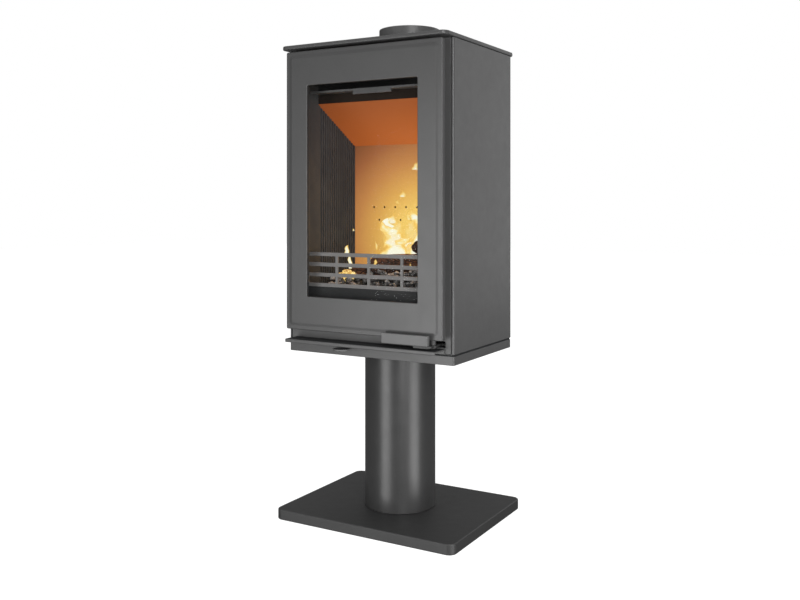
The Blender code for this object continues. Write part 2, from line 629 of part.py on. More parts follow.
def glass_bosses():
    return [prism(f"door_boss_{i + 1}", rectangle(x - 5.0, x + 5.0, z - 9.0, z + 9.0), DOOR_FACE_BACK - 2.0,
                  GLASS_BACK, "cast_paint", "Y") for i, (x, z) in enumerate(screw_places())]


def hinge_lugs():
    x, y = HINGE_AXIS
    return [box(f"door_lug_{i + 1}", -DOOR_SIDE + 0.4, x + 6.4, DOOR_FACE_BACK - 2.0, y + 7.4, low + 6.5,
                low + 17.0, "cast_paint") for i, low in enumerate(HINGE_BRACKET_LOW)]


def latch_boss():
    """The boss under the door's lower right corner that the handle turns on."""
    return prism("door_latch_boss", circle(HANDLE_AXIS, 7.5, 20), LEVER_HIGH + 0.4, DOOR_LOW + 3.0,
                 "cast_paint")


def glazing(pivot):
    side = WINDOW_SIDE + GLASS_LAP
    low, high = WINDOW_LOW - GLASS_LAP, WINDOW_HIGH + GLASS_LAP
    pane = prism("door_glass", rounded(-side, side, low, high, 3.0, 2), GLASS_FRONT, GLASS_BACK,
                 "clear_glass", "Y", pivot)
    outer = rounded(-side, side, low, high, 3.0, 2)
    inner = rounded(-WINDOW_SIDE - 3.0, WINDOW_SIDE + 3.0, WINDOW_LOW - 3.0, WINDOW_HIGH + 3.0, 3.0, 2)
    gasket = ring("glass_gasket", outer, inner, DOOR_FACE_BACK + GAP, GLASS_FRONT - GAP, "seal_rope", "Y",
                  pivot)
    return [pane, gasket] + glass_retainers(pivot)


def glass_retainers(pivot):
    """A strip down each side that holds the pane, with two screws in each."""
    strip_front = GLASS_BACK + GAP
    head_front = strip_front + 2.0 + GAP
    made = []
    for side, name in ((-1, "left"), (1, "right")):
        left, right = sorted((side * 152.0, side * 176.0))
        strip = prism(f"glass_retainer_{name}", rectangle(left, right, 590.0, 975.0), strip_front,
                      strip_front + 2.0, "bright_steel", "Y", pivot)
        places = [place for place in screw_places() if place[0] * side > 0]
        cut(strip, *[prism(f"retainer_hole_{name}_{i + 1}", circle(place, 2.3, 10), strip_front - 5.0,
                           strip_front + 7.0, "bright_steel", "Y") for i, place in enumerate(places)])
        made.append(strip)
    for i, place in enumerate(screw_places()):
        screw = prism(f"glass_screw_{i + 1}", circle(place, 4.2, 12), head_front, head_front + 2.6,
                      "bright_steel", "Y", pivot)
        join(screw, prism(f"glass_shank_{i + 1}", circle(place, 2.0, 10), GLASS_FRONT + 0.6,
                          head_front + 1.0, "bright_steel", "Y"))
        made.append(screw)
    return made


def hinge_hardware():
    """Two brackets on the frame, each with a pin standing up into a lug on the door."""
    x, y = HINGE_AXIS
    for name, low in zip(("lower", "upper"), HINGE_BRACKET_LOW):
        bracket = box(f"hinge_bracket_{name}", x - 4.5, x + 6.0, y - 4.4, BODY_FRONT - GAP, low, low + 6.0,
                      "cast_paint")
        join(bracket, box(f"bracket_flange_{name}", x - 4.5, x + 6.0, BODY_FRONT - 3.3, BODY_FRONT - GAP,
                          low - 24.0, low + 3.0, "cast_paint"))
        cut(bracket, prism(f"bracket_hole_{name}", circle(HINGE_AXIS, HINGE_PIN_RADIUS + GAP, 16), low - 5.0,
                           low + 10.0, "cast_paint"))
        prism(f"hinge_pin_{name}", circle(HINGE_AXIS, HINGE_PIN_RADIUS, 16), low + 0.5, low + 16.5,
              "bright_steel")


# The handle, the ash lip and the air control


def handle(hinge):
    x, y = HANDLE_AXIS
    pivot = (x, y, LEVER_LOW)
    axis = axis_empty("handle_axis", pivot, hinge)
    arm_half, hook_back, hook_front = 4.5, -126.5, -134.0
    outline = [(x + arm_half, y - 6.0)] + arc((x, y), 9.0, -40.0, 40.0, 5)
    outline += [(x + arm_half, y + 9.5), (x + arm_half, hook_front), (x + 12.0, hook_front + 2.0),
                (x + 12.0, hook_back - 2.0), (x + 8.0, hook_back), (x - arm_half, hook_back),
                (x - arm_half, y + 9.5)]
    outline += arc((x, y), 9.0, 140.0, 175.0, 3)
    outline += [(x - 13.0, GRIP_BACK + 6.0), (GRIP_LEFT + 80.0, GRIP_BACK - 0.5),
                (GRIP_LEFT + 80.0, GRIP_FRONT + 1.5), (x - 1.5, GRIP_FRONT + 1.5), (x + arm_half, GRIP_BACK)]
    lever = prism("handle_lever", outline, LEVER_LOW, LEVER_HIGH, "handle_paint", pivot=pivot)
    cut(lever, prism("lever_hole", circle(HANDLE_AXIS, 3.3, 16), LEVER_LOW - 5.0, LEVER_HIGH + 5.0,
                     "handle_paint"))
    grip = box("handle_grip", GRIP_LEFT, GRIP_RIGHT, GRIP_FRONT, GRIP_BACK, GRIP_LOW, GRIP_HIGH,
               "handle_paint", pivot)
    soften(grip, 1.3, 2)
    for part in (lever, grip):
        hang(part, axis)
    pin = bolt("handle_pivot_pin", HANDLE_AXIS, LEVER_LOW - GAP - 2.6, LEVER_LOW - GAP, DOOR_LOW + 2.4,
               5.5, 3.0, pivot)
    hang(pin, hinge)


def latch_keeper():
    """A plate behind the frame's pocket that the handle's hook closes beside."""
    right, front = POCKET[1], FRAME_BACK + GAP
    plan = [(right - 2.6, front), (right + 22.0 - 10.0, front), (right + 22.0 - 10.0, front + 3.0),
            (right + 2.4, front + 3.0), (right + 2.4, front + 14.0), (right - 2.6, front + 14.0)]
    prism("latch_keeper", plan, POCKET[2] + 0.5, POCKET[3] + 4.0, "bright_steel")


def ash_lip():
    """A shelf below the door that catches ash, with a rim along its front and a flange on the frame."""
    back = BODY_FRONT - GAP
    section = [(LIP_FRONT, LIP_LOW + 1.0), (LIP_FRONT + 1.0, LIP_LOW), (LIP_FRONT + 5.0, LIP_LOW),
               (LIP_FRONT + 5.0, LIP_HIGH - 4.6), (back - 4.0, LIP_HIGH - 4.6), (back - 4.0, 423.0),
               (back, 423.0), (back, LIP_HIGH), (LIP_FRONT + 1.2, LIP_HIGH), (LIP_FRONT, LIP_HIGH - 1.2)]
    lip = prism("ash_lip", section, -LIP_SIDE, LIP_SIDE, "cast_paint", "X")
    taps = [prism(f"lip_hole_{i + 1}", circle((x, LIP_SCREW_Z), 2.5, 10), back - 10.0, back + 5.0,
                  "cast_paint", "Y") for i, x in enumerate(LIP_SCREWS_AT)]
    cut(lip, *taps)
    for x, name in zip(LIP_SCREWS_AT, ("left", "right")):
        place = (x, LIP_SCREW_Z)
        screw = prism(f"lip_screw_{name}", circle(place, 4.6, 6), FRAME_BACK + GAP, FRAME_BACK + 3.8,
                      "bright_steel", "Y")
        join(screw, prism(f"lip_shank_{name}", circle(place, 2.2, 10), back - 5.0, FRAME_BACK + 1.5,
                          "bright_steel", "Y"))


def air_control():
    """A flat tongue with a round finger tab under the ash lip, and the valve plate it draws forward."""
    x, y = TONGUE_CENTRE
    pivot = (x, y, TONGUE_LOW)
    axis = axis_empty("air_control_axis", pivot)
    reach = math.degrees(math.asin(TONGUE_NECK / TONGUE_RADIUS))
    outline = arc((x, y), TONGUE_RADIUS, 90.0 + reach, 450.0 - reach, 24)
    outline += [(x + TONGUE_NECK, TONGUE_TAIL), (x - TONGUE_NECK, TONGUE_TAIL)]
    tongue = prism("air_control_tongue", outline, TONGUE_LOW, TONGUE_HIGH, "handle_paint", pivot=pivot)
    soften(tongue, 0.6, 1, 60.0)
    plate = box("air_valve_plate", x - 16.0, 46.0, -38.0, 50.0, 412.0, TONGUE_LOW - GAP, "bright_steel",
                pivot)
    for part in (tongue, plate):
        hang(part, axis)
    guide_front, side = -116.0, TONGUE_NECK + 0.8
    guide = box("air_control_guide", x - side - 6.0, x + side + 6.0, guide_front, guide_front + 8.0,
                PLINTH_LOW + 5.0 + GAP, 426.0, "bright_steel")
    cut(guide, box("guide_window", x - side, x + side, guide_front - 5.0, guide_front + 13.0,
                   TONGUE_LOW - 0.5, TONGUE_HIGH + 0.5, "bright_steel"))


def main():
    clear_scene()
    base()
    column()
    plinth()
    air_intake()
    side_panels()
    back_panel()
    front_frame()
    top_plate()
    flue_collar()
    tie_rods()
    firebox_shell()
    linings()
    baffles()
    fence_and_sill()
    air_wash_deflector()
    ash_pan()
    hinge = axis_empty("door_hinge_axis", (*HINGE_AXIS, DOOR_LOW))
    door(hinge)
    hinge_hardware()
    handle(hinge)
    latch_keeper()
    ash_lip()
    air_control()


main()
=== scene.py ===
"""The looks of a wood burning stove on a column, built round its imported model.

Lengths are in metres, in the model's own frame: X to the right of someone who faces the door, Y from
the door towards the back, Z up. Outer sizes and places come from the frame's boxes.
"""

import json
import math
import random

import bmesh
import bpy
from mathutils import Matrix, Vector, noise


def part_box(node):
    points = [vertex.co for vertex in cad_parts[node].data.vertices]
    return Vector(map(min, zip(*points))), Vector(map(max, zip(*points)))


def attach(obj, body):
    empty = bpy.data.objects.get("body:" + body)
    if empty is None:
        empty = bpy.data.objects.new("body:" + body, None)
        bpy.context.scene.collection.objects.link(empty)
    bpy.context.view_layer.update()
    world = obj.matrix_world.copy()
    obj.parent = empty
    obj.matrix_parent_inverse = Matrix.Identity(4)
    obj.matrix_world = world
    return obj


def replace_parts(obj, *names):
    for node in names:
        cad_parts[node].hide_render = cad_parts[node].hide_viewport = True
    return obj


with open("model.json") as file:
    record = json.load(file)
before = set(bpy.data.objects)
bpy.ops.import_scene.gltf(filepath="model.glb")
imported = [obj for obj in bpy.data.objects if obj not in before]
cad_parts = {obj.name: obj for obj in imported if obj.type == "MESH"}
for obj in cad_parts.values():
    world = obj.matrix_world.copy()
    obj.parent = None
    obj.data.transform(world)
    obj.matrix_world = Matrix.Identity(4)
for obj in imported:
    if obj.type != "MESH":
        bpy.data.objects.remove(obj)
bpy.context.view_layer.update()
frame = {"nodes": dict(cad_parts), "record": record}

MM = 0.001
ROUND_STEPS = 8  # segments in a quarter round
CREASE = 32.0  # degrees between two faces from which their edge shows sharp
ROUGH_CREASE = 60.0  # the same for wood, charcoal and ash
BEVEL_ANGLE = 34.0  # degrees between two faces from which soften() rounds their edge
CUT_MARGIN = 5 * MM  # how far a cutter runs past the part that it cuts

# Shapes that the boxes don't give
BASE_CORNER, BASE_EDGE, BASE_RIM, BASE_SKIN = 18.6 * MM, 2.6 * MM, 12 * MM, 8 * MM
TOP_CORNER, TOP_EDGE, FLUE_HOLE_RADIUS = 17 * MM, 2.4 * MM, 75.6 * MM
BODY_CORNER = 4.5 * MM
DOOR_CORNER, DOOR_EDGE = 4 * MM, 2.2 * MM
DOOR_RIM, DOOR_STEP, DOOR_STEP_WIDTH = 8 * MM, 1.7 * MM, 10 * MM
DOOR_FIELD_CORNER, DOOR_WALL = 12 * MM, 5.5 * MM
DOOR_FRONT, DOOR_REAR, DOOR_FACE_BACK = -180.8 * MM, -166.8 * MM, -172.8 * MM
WINDOW = (-147.8 * MM, 147.8 * MM, 534.1 * MM, 1029.2 * MM, 3 * MM)
DOOR_SPAN = (-208.8 * MM, 208.8 * MM, 455 * MM, 1110.8 * MM, DOOR_CORNER)
OPENING = (-174 * MM, 174 * MM, 471 * MM, 1046 * MM, 6 * MM)
POCKET = (158 * MM, 201 * MM, 436.5 * MM, 450.5 * MM)
HANDLE_AXIS = (180 * MM, -169 * MM)
HINGE_AXIS = (-202.5 * MM, -160 * MM)
HINGE_LUGS, HINGE_LUG_HEIGHT = (506.5 * MM, 1034.5 * MM), 10.5 * MM
TONGUE_CENTRE, TONGUE_RADIUS, TONGUE_NECK = (-53.5 * MM, -177 * MM), 19.7 * MM, 12 * MM
ROPE_CORNER, ROPE_WIDTH = 8 * MM, 10 * MM
FENCE_BAR, FENCE_PITCH, FENCE_ROWS = 8.6 * MM, 24.2 * MM, 3
FENCE_POST, FENCE_END, FENCE_POSTS_AT = 6.6 * MM, 3.2 * MM, (-88 * MM, 0.0, 88 * MM)

# The camera's place, heading in degrees, lens and upward shift
EYE, HEADING, LENS, SENSOR, SHIFT = (1.1201, -1.9287, 0.7510), 30.16, 41.27, 36.0, -0.120

# Each softbox's azimuth in degrees, distance, height, width and length, power, and the height it aims at
SOFTBOXES = {
    "left_softbox": (-106.5, 2.8, 0.05, (1.35, 2.2), 46.0, 0.3),
    "right_softbox": (-14.0, 2.6, -0.35, (1.3, 2.0), 40.0, 0.1),
    "side_softbox": (72.0, 2.8, 1.35, (1.8, 2.4), 10.8, 0.8),
    "front_softbox": (-50.0, 2.8, 0.95, (1.3, 1.8), 52.0, 0.6),
}


# Node trees


class Look:
    """One material's node tree, with a short call for each kind of node that it uses."""

    def __init__(self, name):
        self.material = bpy.data.materials.new(name)
        self.material.use_nodes = True
        self.tree = self.material.node_tree
        self.surface = self.tree.nodes["Principled BSDF"]
        self.place = self.tree.nodes.new("ShaderNodeTexCoord").outputs["Object"]

    def set(self, socket, value):
        if isinstance(value, bpy.types.NodeSocket):
            self.tree.links.new(value, socket)
        else:
            socket.default_value = value

    def add(self, kind, inputs, **settings):
        node = self.tree.nodes.new(kind)
        for key, value in settings.items():
            setattr(node, key, value)
        for key, value in inputs.items():
            self.set(node.inputs[key], value)
        return node

    def noise(self, scale, detail=2.0, roughness=0.5, distortion=0.0, at=None):
        inputs = {"Vector": at or self.place, "Scale": scale, "Detail": detail, "Roughness": roughness,
                  "Distortion": distortion}
        return self.add("ShaderNodeTexNoise", inputs).outputs["Fac"]

    def cells(self, scale, feature="F1", randomness=1.0, at=None):
        inputs = {"Vector": at or self.place, "Scale": scale, "Randomness": randomness}
        return self.add("ShaderNodeTexVoronoi", inputs, feature=feature).outputs["Distance"]

    def math(self, operation, a, b=0.0, clamp=False):
        return self.add("ShaderNodeMath", {0: a, 1: b}, operation=operation, use_clamp=clamp).outputs[0]

    def span(self, value, low, high, to_low, to_high, kind="LINEAR"):
        """The value's stretch from low to high, mapped onto another stretch and held there."""
        inputs = {"Value": value, "From Min": low, "From Max": high, "To Min": to_low, "To Max": to_high}
        return self.add("ShaderNodeMapRange", inputs, interpolation_type=kind).outputs[0]

    def mix(self, share, a, b, blend="MIX"):
        node = self.add("ShaderNodeMix", {0: share, 6: a, 7: b}, data_type="RGBA", blend_type=blend)
        return node.outputs[2]

    def ramp(self, value, stops):
        node = self.add("ShaderNodeValToRGB", {"Fac": value})
        points = node.color_ramp.elements
        while len(points) < len(stops):
            points.new(0.5)
        for point, (position, colour) in zip(points, stops):
            point.position = position
            point.color = opaque(colour)
        return node.outputs["Color"]

    def stretched(self, scale, source=None):
        return self.add("ShaderNodeMapping", {"Vector": source or self.place, "Scale": scale}).outputs[0]

    def axis(self, letter, source=None):
        return self.add("ShaderNodeSeparateXYZ", {0: source or self.place}).outputs[letter]

    def facing(self, letter):
        """How far the surface's normal points along an axis."""
        return self.axis(letter, self.tree.nodes.new("ShaderNodeNewGeometry").outputs["Normal"])

    def unwrapped(self, letter):
        """One axis of the piece's own UV map."""
        return self.axis(letter, self.tree.nodes.new("ShaderNodeUVMap").outputs["UV"])

    def bump(self, height, strength, distance, normal=None):
        inputs = {"Height": height, "Strength": strength, "Distance": distance}
        if normal:
            inputs["Normal"] = normal
        return self.add("ShaderNodeBump", inputs).outputs["Normal"]

    def edges(self, low, high):
        """1 on edges that stand out and 0 on flat stretches."""
        point = self.tree.nodes.new("ShaderNodeNewGeometry").outputs["Pointiness"]
        return self.span(point, low, high, 0.0, 1.0)

    def finish(self, **values):
        for key, value in values.items():
            self.set(self.surface.inputs[key.replace("_", " ")], value)
        return self.material


def tint(colour, factor):
    return tuple(channel * factor for channel in colour)


def grey(level):
    return (level, level, level)


def opaque(colour):
    return (*colour, 1.0)


def painted(name, level, roughness, grain=0.22, grain_scale=900.0, waves=0.05):
    """Matt grey stove paint: a fine sandy grain, faint cloudiness, and lighter edges, partly worn paint and
    partly a painted highlight.
    """
    look = Look(name)
    clouds = look.noise(9.0, 3.0, 0.55)
    sand = look.noise(grain_scale, 2.0, 0.6)
    mottled = look.math("ADD", look.math("MULTIPLY", clouds, 0.35), look.math("MULTIPLY", sand, 0.65))
    base = look.ramp(mottled, [(0.35, grey(0.92 * level)), (0.65, grey(1.08 * level))])
    # Lighter edges: partly worn paint, partly a painted highlight.
    rubbed_and_highlit = look.math("MULTIPLY", look.edges(0.52, 0.62), look.noise(60.0, 3.0, 0.6))
    base = look.mix(look.math("MULTIPLY", rubbed_and_highlit, 0.35), base, opaque(grey(2.6 * level)))
    rough = look.span(look.noise(34.0, 3.0, 0.6), 0.3, 0.7, roughness - 0.03, roughness + 0.03)
    slow = look.bump(look.noise(26.0, 2.0, 0.5), waves, 0.0010)
    fine = look.bump(sand, grain, 0.00025, slow)
    return look.finish(Base_Color=base, Roughness=rough, Normal=fine)


def sooty_iron(name, depth, groove=None):
    """Cast iron inside the fire: dull and dark, with a faint bloom and sooty speckles. A low depth makes it
    darker.

    Where groove is given, the grooves where |X| is beyond it are painted near black, as painted shade, and
    the iron turns darker towards the front.
    """
    look = Look(name)
    bloom = look.noise(16.0, 4.0, 0.6)
    sand = look.noise(520.0, 3.0, 0.65)
    shades = ((0.30, (0.044, 0.049, 0.055)), (0.55, (0.052, 0.056, 0.060)), (0.75, (0.060, 0.061, 0.062)))
    base = look.ramp(bloom, [(at, tint(colour, depth)) for at, colour in shades])
    base = look.mix(look.span(sand, 0.35, 0.7, 0.0, 0.25), base, opaque(grey(0.030 * depth)))
    if groove:
        # Painted shade in the grooves, and a darker tone towards the front.
        groove_shade_and_front_dark = opaque(grey(0.010 * depth))
        deep = look.span(look.math("ABSOLUTE", look.axis("X")), groove, groove + MM, 0.0, 0.85)
        front = look.span(look.axis("Y"), -0.110, -0.060, 0.45, 0.0)
        base = look.mix(front, look.mix(deep, base, groove_shade_and_front_dark), groove_shade_and_front_dark)
    rough = look.span(bloom, 0.3, 0.7, 0.88, 0.70)
    return look.finish(Base_Color=base, Roughness=rough, Normal=look.bump(sand, 0.25, 0.0004))


def lining_board(name, hearts, faces, stops, strength):
    """Pressed lining board with mica flakes, with the fire's light painted on as an emission glow: brightest
    near the heart of the flames.

    hearts holds the heart's place along two axes, with how far the painted light reaches along each. Only the
    side that faces against the axis named by faces gets the painted glow. The other sides are painted near
    black, as painted shade.
    """
    look = Look(name)
    flakes = look.cells(430.0)
    pressed = look.noise(240.0, 3.0, 0.6)
    clouds = look.noise(9.0, 4.0, 0.6)
    grain = look.span(flakes, 0.0, 0.9, 1.08, 0.86)
    board, scorched = (0.080, 0.042, 0.020, 1.0), (0.055, 0.030, 0.016, 1.0)
    base = look.mix(look.span(clouds, 0.35, 0.75, 0.0, 0.5), board, scorched)
    # Painted firelight: an emission glow that fades away from the heart.
    reach = []
    for letter, heart, size in hearts:
        away = look.math("DIVIDE", look.math("SUBTRACT", look.axis(letter), heart), size)
        reach.append(look.math("MULTIPLY", away, away))
    far = look.math("SQRT", look.math("ADD", *reach))
    near = look.math("SUBTRACT", 1.2, far, True)
    # Only the side that faces the fire gets the painted glow. The others get painted shade.
    facing = look.facing(faces)
    strength = look.span(facing, -0.5, -0.7, 0.0, strength)
    base = look.mix(look.span(facing, -0.5, -0.7, 0.8, 0.0), base, opaque(grey(0.004)))
    speckle = look.add("ShaderNodeCombineColor", {0: grain, 1: grain, 2: grain}).outputs[0]
    light = look.mix(1.0, look.ramp(near, stops), speckle, "MULTIPLY")
    normal = look.bump(look.math("ADD", look.math("MULTIPLY", flakes, 0.6), pressed), 0.35, 0.0006)
    return look.finish(Base_Color=base, Roughness=0.93, Specular_IOR_Level=0.2, Normal=normal,
                       Emission_Color=light, Emission_Strength=strength)


def worn_iron():
    """The fence: grey iron with a trace of heat colour."""
    look = Look("looks_fence_iron")
    heat = look.noise(21.0, 3.0, 0.6)
    sand = look.noise(800.0, 2.0, 0.6)
    base = look.ramp(heat, [(0.30, (0.150, 0.148, 0.146)), (0.55, (0.185, 0.180, 0.176)),
                            (0.78, (0.200, 0.184, 0.170))])
    base = look.mix(look.math("MULTIPLY", look.edges(0.52, 0.62), 0.4), base, (0.36, 0.35, 0.34, 1.0))
    rough = look.span(heat, 0.3, 0.7, 0.60, 0.70)
    return look.finish(Base_Color=base, Roughness=rough, Metallic=0.2, Normal=look.bump(sand, 0.15, 0.0003))


def plated_steel():
    """Bright steel with fine level streaks, slightly dulled."""
    look = Look("looks_bright_steel")
    grain = look.noise(60.0, 3.0, 0.6, at=look.stretched((1.0, 1.0, 30.0)))
    dull = look.noise(90.0, 3.0, 0.6)
    base = look.ramp(dull, [(0.3, (0.40, 0.40, 0.41)), (0.7, (0.56, 0.56, 0.57))])
    rough = look.span(grain, 0.3, 0.7, 0.26, 0.42)
    return look.finish(Base_Color=base, Roughness=rough, Metallic=1.0,
                       Normal=look.bump(grain, 0.08, 0.0002))


def clear_glass():
    """Thin heat-proof glass: nearly clear, with a faint bloom of ash low down."""
    look = Look("looks_clear_glass")
    bloom = look.span(look.noise(11.0, 4.0, 0.65), 0.42, 0.75, 0.0, 0.03)
    low = look.span(look.axis("Z"), 0.54, 0.66, 1.0, 0.0)
    alpha = look.math("ADD", 0.05, look.math("MULTIPLY", bloom, low))
    look.material.surface_render_method = "BLENDED"
    return look.finish(Base_Color=(0.030, 0.030, 0.029, 1.0), Roughness=0.06, Specular_IOR_Level=0.12,
                       Alpha=alpha)


def braided_rope():
    """Braided glass rope: strands that cross on the slant, read from the piece's own UV map."""
    look = Look("looks_seal_rope")
    strands = []
    for slant in (1.0, -1.0):
        along = look.math("MULTIPLY", look.unwrapped("X"), 2600.0)
        across = look.math("MULTIPLY", look.unwrapped("Y"), 8.0 * slant * math.tau)
        strands.append(look.math("SINE", look.math("ADD", along, across)))
    weave = look.math("MAXIMUM", *strands)
    fuzz = look.noise(1500.0, 3.0, 0.7)
    base = look.ramp(look.span(weave, -0.4, 1.0, 0.0, 1.0), [(0.0, (0.050, 0.048, 0.045)),
                                                            (1.0, (0.230, 0.225, 0.215))])
    base = look.mix(look.span(fuzz, 0.4, 0.7, 0.0, 0.4), base, (0.30, 0.295, 0.28, 1.0))
    normal = look.bump(fuzz, 0.3, 0.0004, look.bump(weave, 0.8, 0.0012))
    return look.finish(Base_Color=base, Roughness=0.95, Normal=normal, Sheen_Weight=0.2)


def bark():
    """Burning wood: charred bark split by checks, ash where it has burnt, and a glow in the cracks."""
    look = Look("looks_bark")
    warped = look.stretched((1.0, 1.0, 2.2))
    cracks = look.cells(58.0, "DISTANCE_TO_EDGE", 0.9, warped)
    patches = look.noise(26.0, 4.0, 0.65)
    base = look.ramp(patches, [(0.34, (0.012, 0.010, 0.009)), (0.50, (0.075, 0.028, 0.014)),
                               (0.66, (0.150, 0.060, 0.028)), (0.78, (0.26, 0.23, 0.20))])
    deep = look.span(cracks, 0.0, 0.09, 1.0, 0.0, "SMOOTHSTEP")
    base = look.mix(deep, base, (0.008, 0.006, 0.005, 1.0))
    glow = look.math("MULTIPLY", deep, look.span(look.noise(14.0, 3.0, 0.5), 0.56, 0.70, 0.0, 1.0))
    light = look.ramp(glow, [(0.0, grey(0.0)), (0.5, (0.30, 0.05, 0.006)), (1.0, (0.80, 0.26, 0.03))])
    normal = look.bump(look.span(cracks, 0.0, 0.16, 0.0, 1.0), 0.9, 0.004,
                       look.bump(look.noise(210.0, 4.0, 0.7), 0.5, 0.0015))
    return look.finish(Base_Color=base, Roughness=0.92, Normal=normal, Emission_Color=light,
                       Emission_Strength=1.6)


def ember(name, heat, dust):
    """Lumps of charcoal under a dust of grey ash, glowing in their cracks where they are hot."""
    look = Look(name)
    cracks = look.cells(120.0, "DISTANCE_TO_EDGE", 1.0)
    patches = look.noise(70.0, 4.0, 0.7)
    upward = look.facing("Z")
    base = look.ramp(patches, [(0.36, (0.014, 0.013, 0.013)), (0.54, (0.070, 0.066, 0.062)),
                               (0.68, (0.36, 0.35, 0.34))])
    ash = look.math("MULTIPLY", look.span(upward, -0.2, 0.8, 0.0, dust),
                    look.span(patches, 0.40, 0.58, 0.0, 1.0))
    base = look.mix(ash, base, (0.66, 0.65, 0.63, 1.0))
    deep = look.span(cracks, 0.0, 0.12, 1.0, 0.0, "SMOOTHSTEP")
    draught = look.span(look.noise(23.0, 3.0, 0.5), 0.36, 0.56, 0.0, heat)
    shielded = look.math("ADD", look.math("MULTIPLY", deep, 0.8), look.span(upward, 0.9, -0.6, 0.35, 0.7))
    light = look.ramp(look.math("MULTIPLY", draught, shielded),
                      [(0.0, grey(0.0)), (0.30, (0.34, 0.13, 0.016)), (0.7, (0.74, 0.44, 0.080)),
                       (1.0, (0.86, 0.66, 0.24))])
    normal = look.bump(cracks, 0.8, 0.003, look.bump(look.noise(330.0, 3.0, 0.7), 0.5, 0.001))
    return look.finish(Base_Color=base, Roughness=0.95, Normal=normal, Emission_Color=light,
                       Emission_Strength=1.25)


def ash_dust():
    """Loose ash, dark between its lumps."""
    look = Look("looks_ash")
    lumps = look.noise(130.0, 5.0, 0.7)
    base = look.ramp(lumps, [(0.34, (0.030, 0.027, 0.025)), (0.50, (0.14, 0.13, 0.12)),
                             (0.68, (0.42, 0.40, 0.38))])
    return look.finish(Base_Color=base, Roughness=1.0, Normal=look.bump(lumps, 0.9, 0.003))


def flame(name, body, cover):
    """A flame's own light: white yellow in its heart, then gold and orange, torn into puffs at its top.

    body is how full the heart is and cover how solid the flame looks.
    """
    look = Look(name)
    across, up = look.unwrapped("X"), look.unwrapped("Y")
    puffs = look.noise(30.0, 3.0, 0.5, 0.5, look.stretched((1.0, 1.0, 0.75)))
    middle = look.math("SUBTRACT", 1.0, look.math("MULTIPLY", across, across))
    full = look.math("MULTIPLY", middle, look.span(up, 0.10, 1.0, body, body * 0.30))
    heat = look.math("ADD", full, look.span(puffs, 0.33, 0.67, -0.62, 0.45), True)
    light = look.ramp(heat, [(0.0, (0.90, 0.42, 0.06)), (0.30, (0.98, 0.60, 0.13)),
                             (0.52, (1.0, 0.74, 0.24)), (0.70, (1.0, 0.90, 0.48)),
                             (0.92, (1.0, 0.99, 0.80))])
    alpha = look.span(heat, 0.06, 0.54, 0.0, cover, "SMOOTHSTEP")
    look.material.surface_render_method = "BLENDED"
    return look.finish(Base_Color=(0.0, 0.0, 0.0, 1.0), Roughness=1.0, Specular_IOR_Level=0.0,
                       Emission_Color=light, Emission_Strength=1.05, Alpha=alpha)


# One finish for each of the record's material slots
LOOKS = {
    "cast_paint": painted("looks_cast_paint", 0.058, 0.38),
    "sheet_paint": painted("looks_sheet_paint", 0.026, 0.52, grain=0.18, grain_scale=1300.0),
    "column_paint": painted("looks_column_paint", 0.031, 0.33, grain=0.04, grain_scale=1600.0, waves=0.0),
    "handle_paint": painted("looks_handle_paint", 0.095, 0.44, grain=0.14, grain_scale=1500.0),
    "firebox_iron": sooty_iron("looks_firebox_iron", 1.0),
    # The lining board carries painted firelight on the side that faces the fire, and painted shade on its
    # other sides.
    "hearth_stone": lining_board("looks_hearth_stone", (("X", 0.020, 0.31), ("Z", 0.660, 0.31)), "Y",
                                 [(0.10, (0.10, 0.031, 0.012)), (0.35, (0.33, 0.113, 0.038)),
                                  (0.55, (0.54, 0.235, 0.065)), (0.75, (0.74, 0.410, 0.090)),
                                  (0.95, (0.92, 0.640, 0.150))], strength=1.02),
    "fence_iron": worn_iron(),
    "bright_steel": plated_steel(),
    "clear_glass": clear_glass(),
    "seal_rope": braided_rope(),
}

# Finishes of single parts
# The baffle's board carries painted firelight on its underside, and painted shade on its other sides.
BAFFLE_LOOK = lining_board("looks_hearth_baffle", (("X", 0.050, 0.42), ("Y", 0.230, 0.42)), "Z",
                           [(0.05, (0.10, 0.022, 0.005)), (0.50, (0.36, 0.078, 0.012)),
                            (0.90, (0.58, 0.135, 0.018))], strength=0.92)
# Near-black iron for the sill and the firebox shell, darkened partly as painted deep shade, and for the
# painted shade in grooves, jambs, the frame's opening and the lip's top.
BLACK_IRON_AND_SHADE_LOOK = sooty_iron("looks_black_iron_and_painted_shade", 0.22)
TAPE_LOOK = sooty_iron("looks_black_tape", 0.4)
# The ribbed liners carry painted shade in the grooves between their ribs.
LINER_LOOK = sooty_iron("looks_ribbed_iron", 1.0, groove=185.4 * MM)
# Lighter copies of the cast paint, as painted light: for the flue, and for the frame where it lies in the
# door's shade.
LIGHTENED_FLUE_LOOK = painted("looks_flue_paint_lightened", 0.098, 0.38)
LIGHTENED_FRAME_LOOK = painted("looks_frame_paint_lightened", 0.074, 0.38)


# Outlines and meshes


def arc(centre, radius, start, end, steps):
    angles = [math.radians(start + (end - start) * i / steps) for i in range(steps + 1)]
    return [(centre[0] + radius * math.cos(a), centre[1] + radius * math.sin(a)) for a in angles]


def rounded(span, inset=0.0, steps=ROUND_STEPS):
    """A rectangle (left, right, low, high, corner radius) with round corners, drawn in by an inset."""
    left, right, low, high, radius = span
    left, right, low, high = left + inset, right - inset, low + inset, high - inset
    radius = max(radius - inset, 0.1 * MM)
    points = []
    for u, v, start in ((right - radius, high - radius, 0.0), (left + radius, high - radius, 90.0),
                        (left + radius, low + radius, 180.0), (right - radius, low + radius, 270.0)):
        points += arc((u, v), radius, start, start + 90.0, steps)
    return points


def circle(centre, radius, steps):
    return arc(centre, radius, 0.0, 360.0, steps)[:-1]


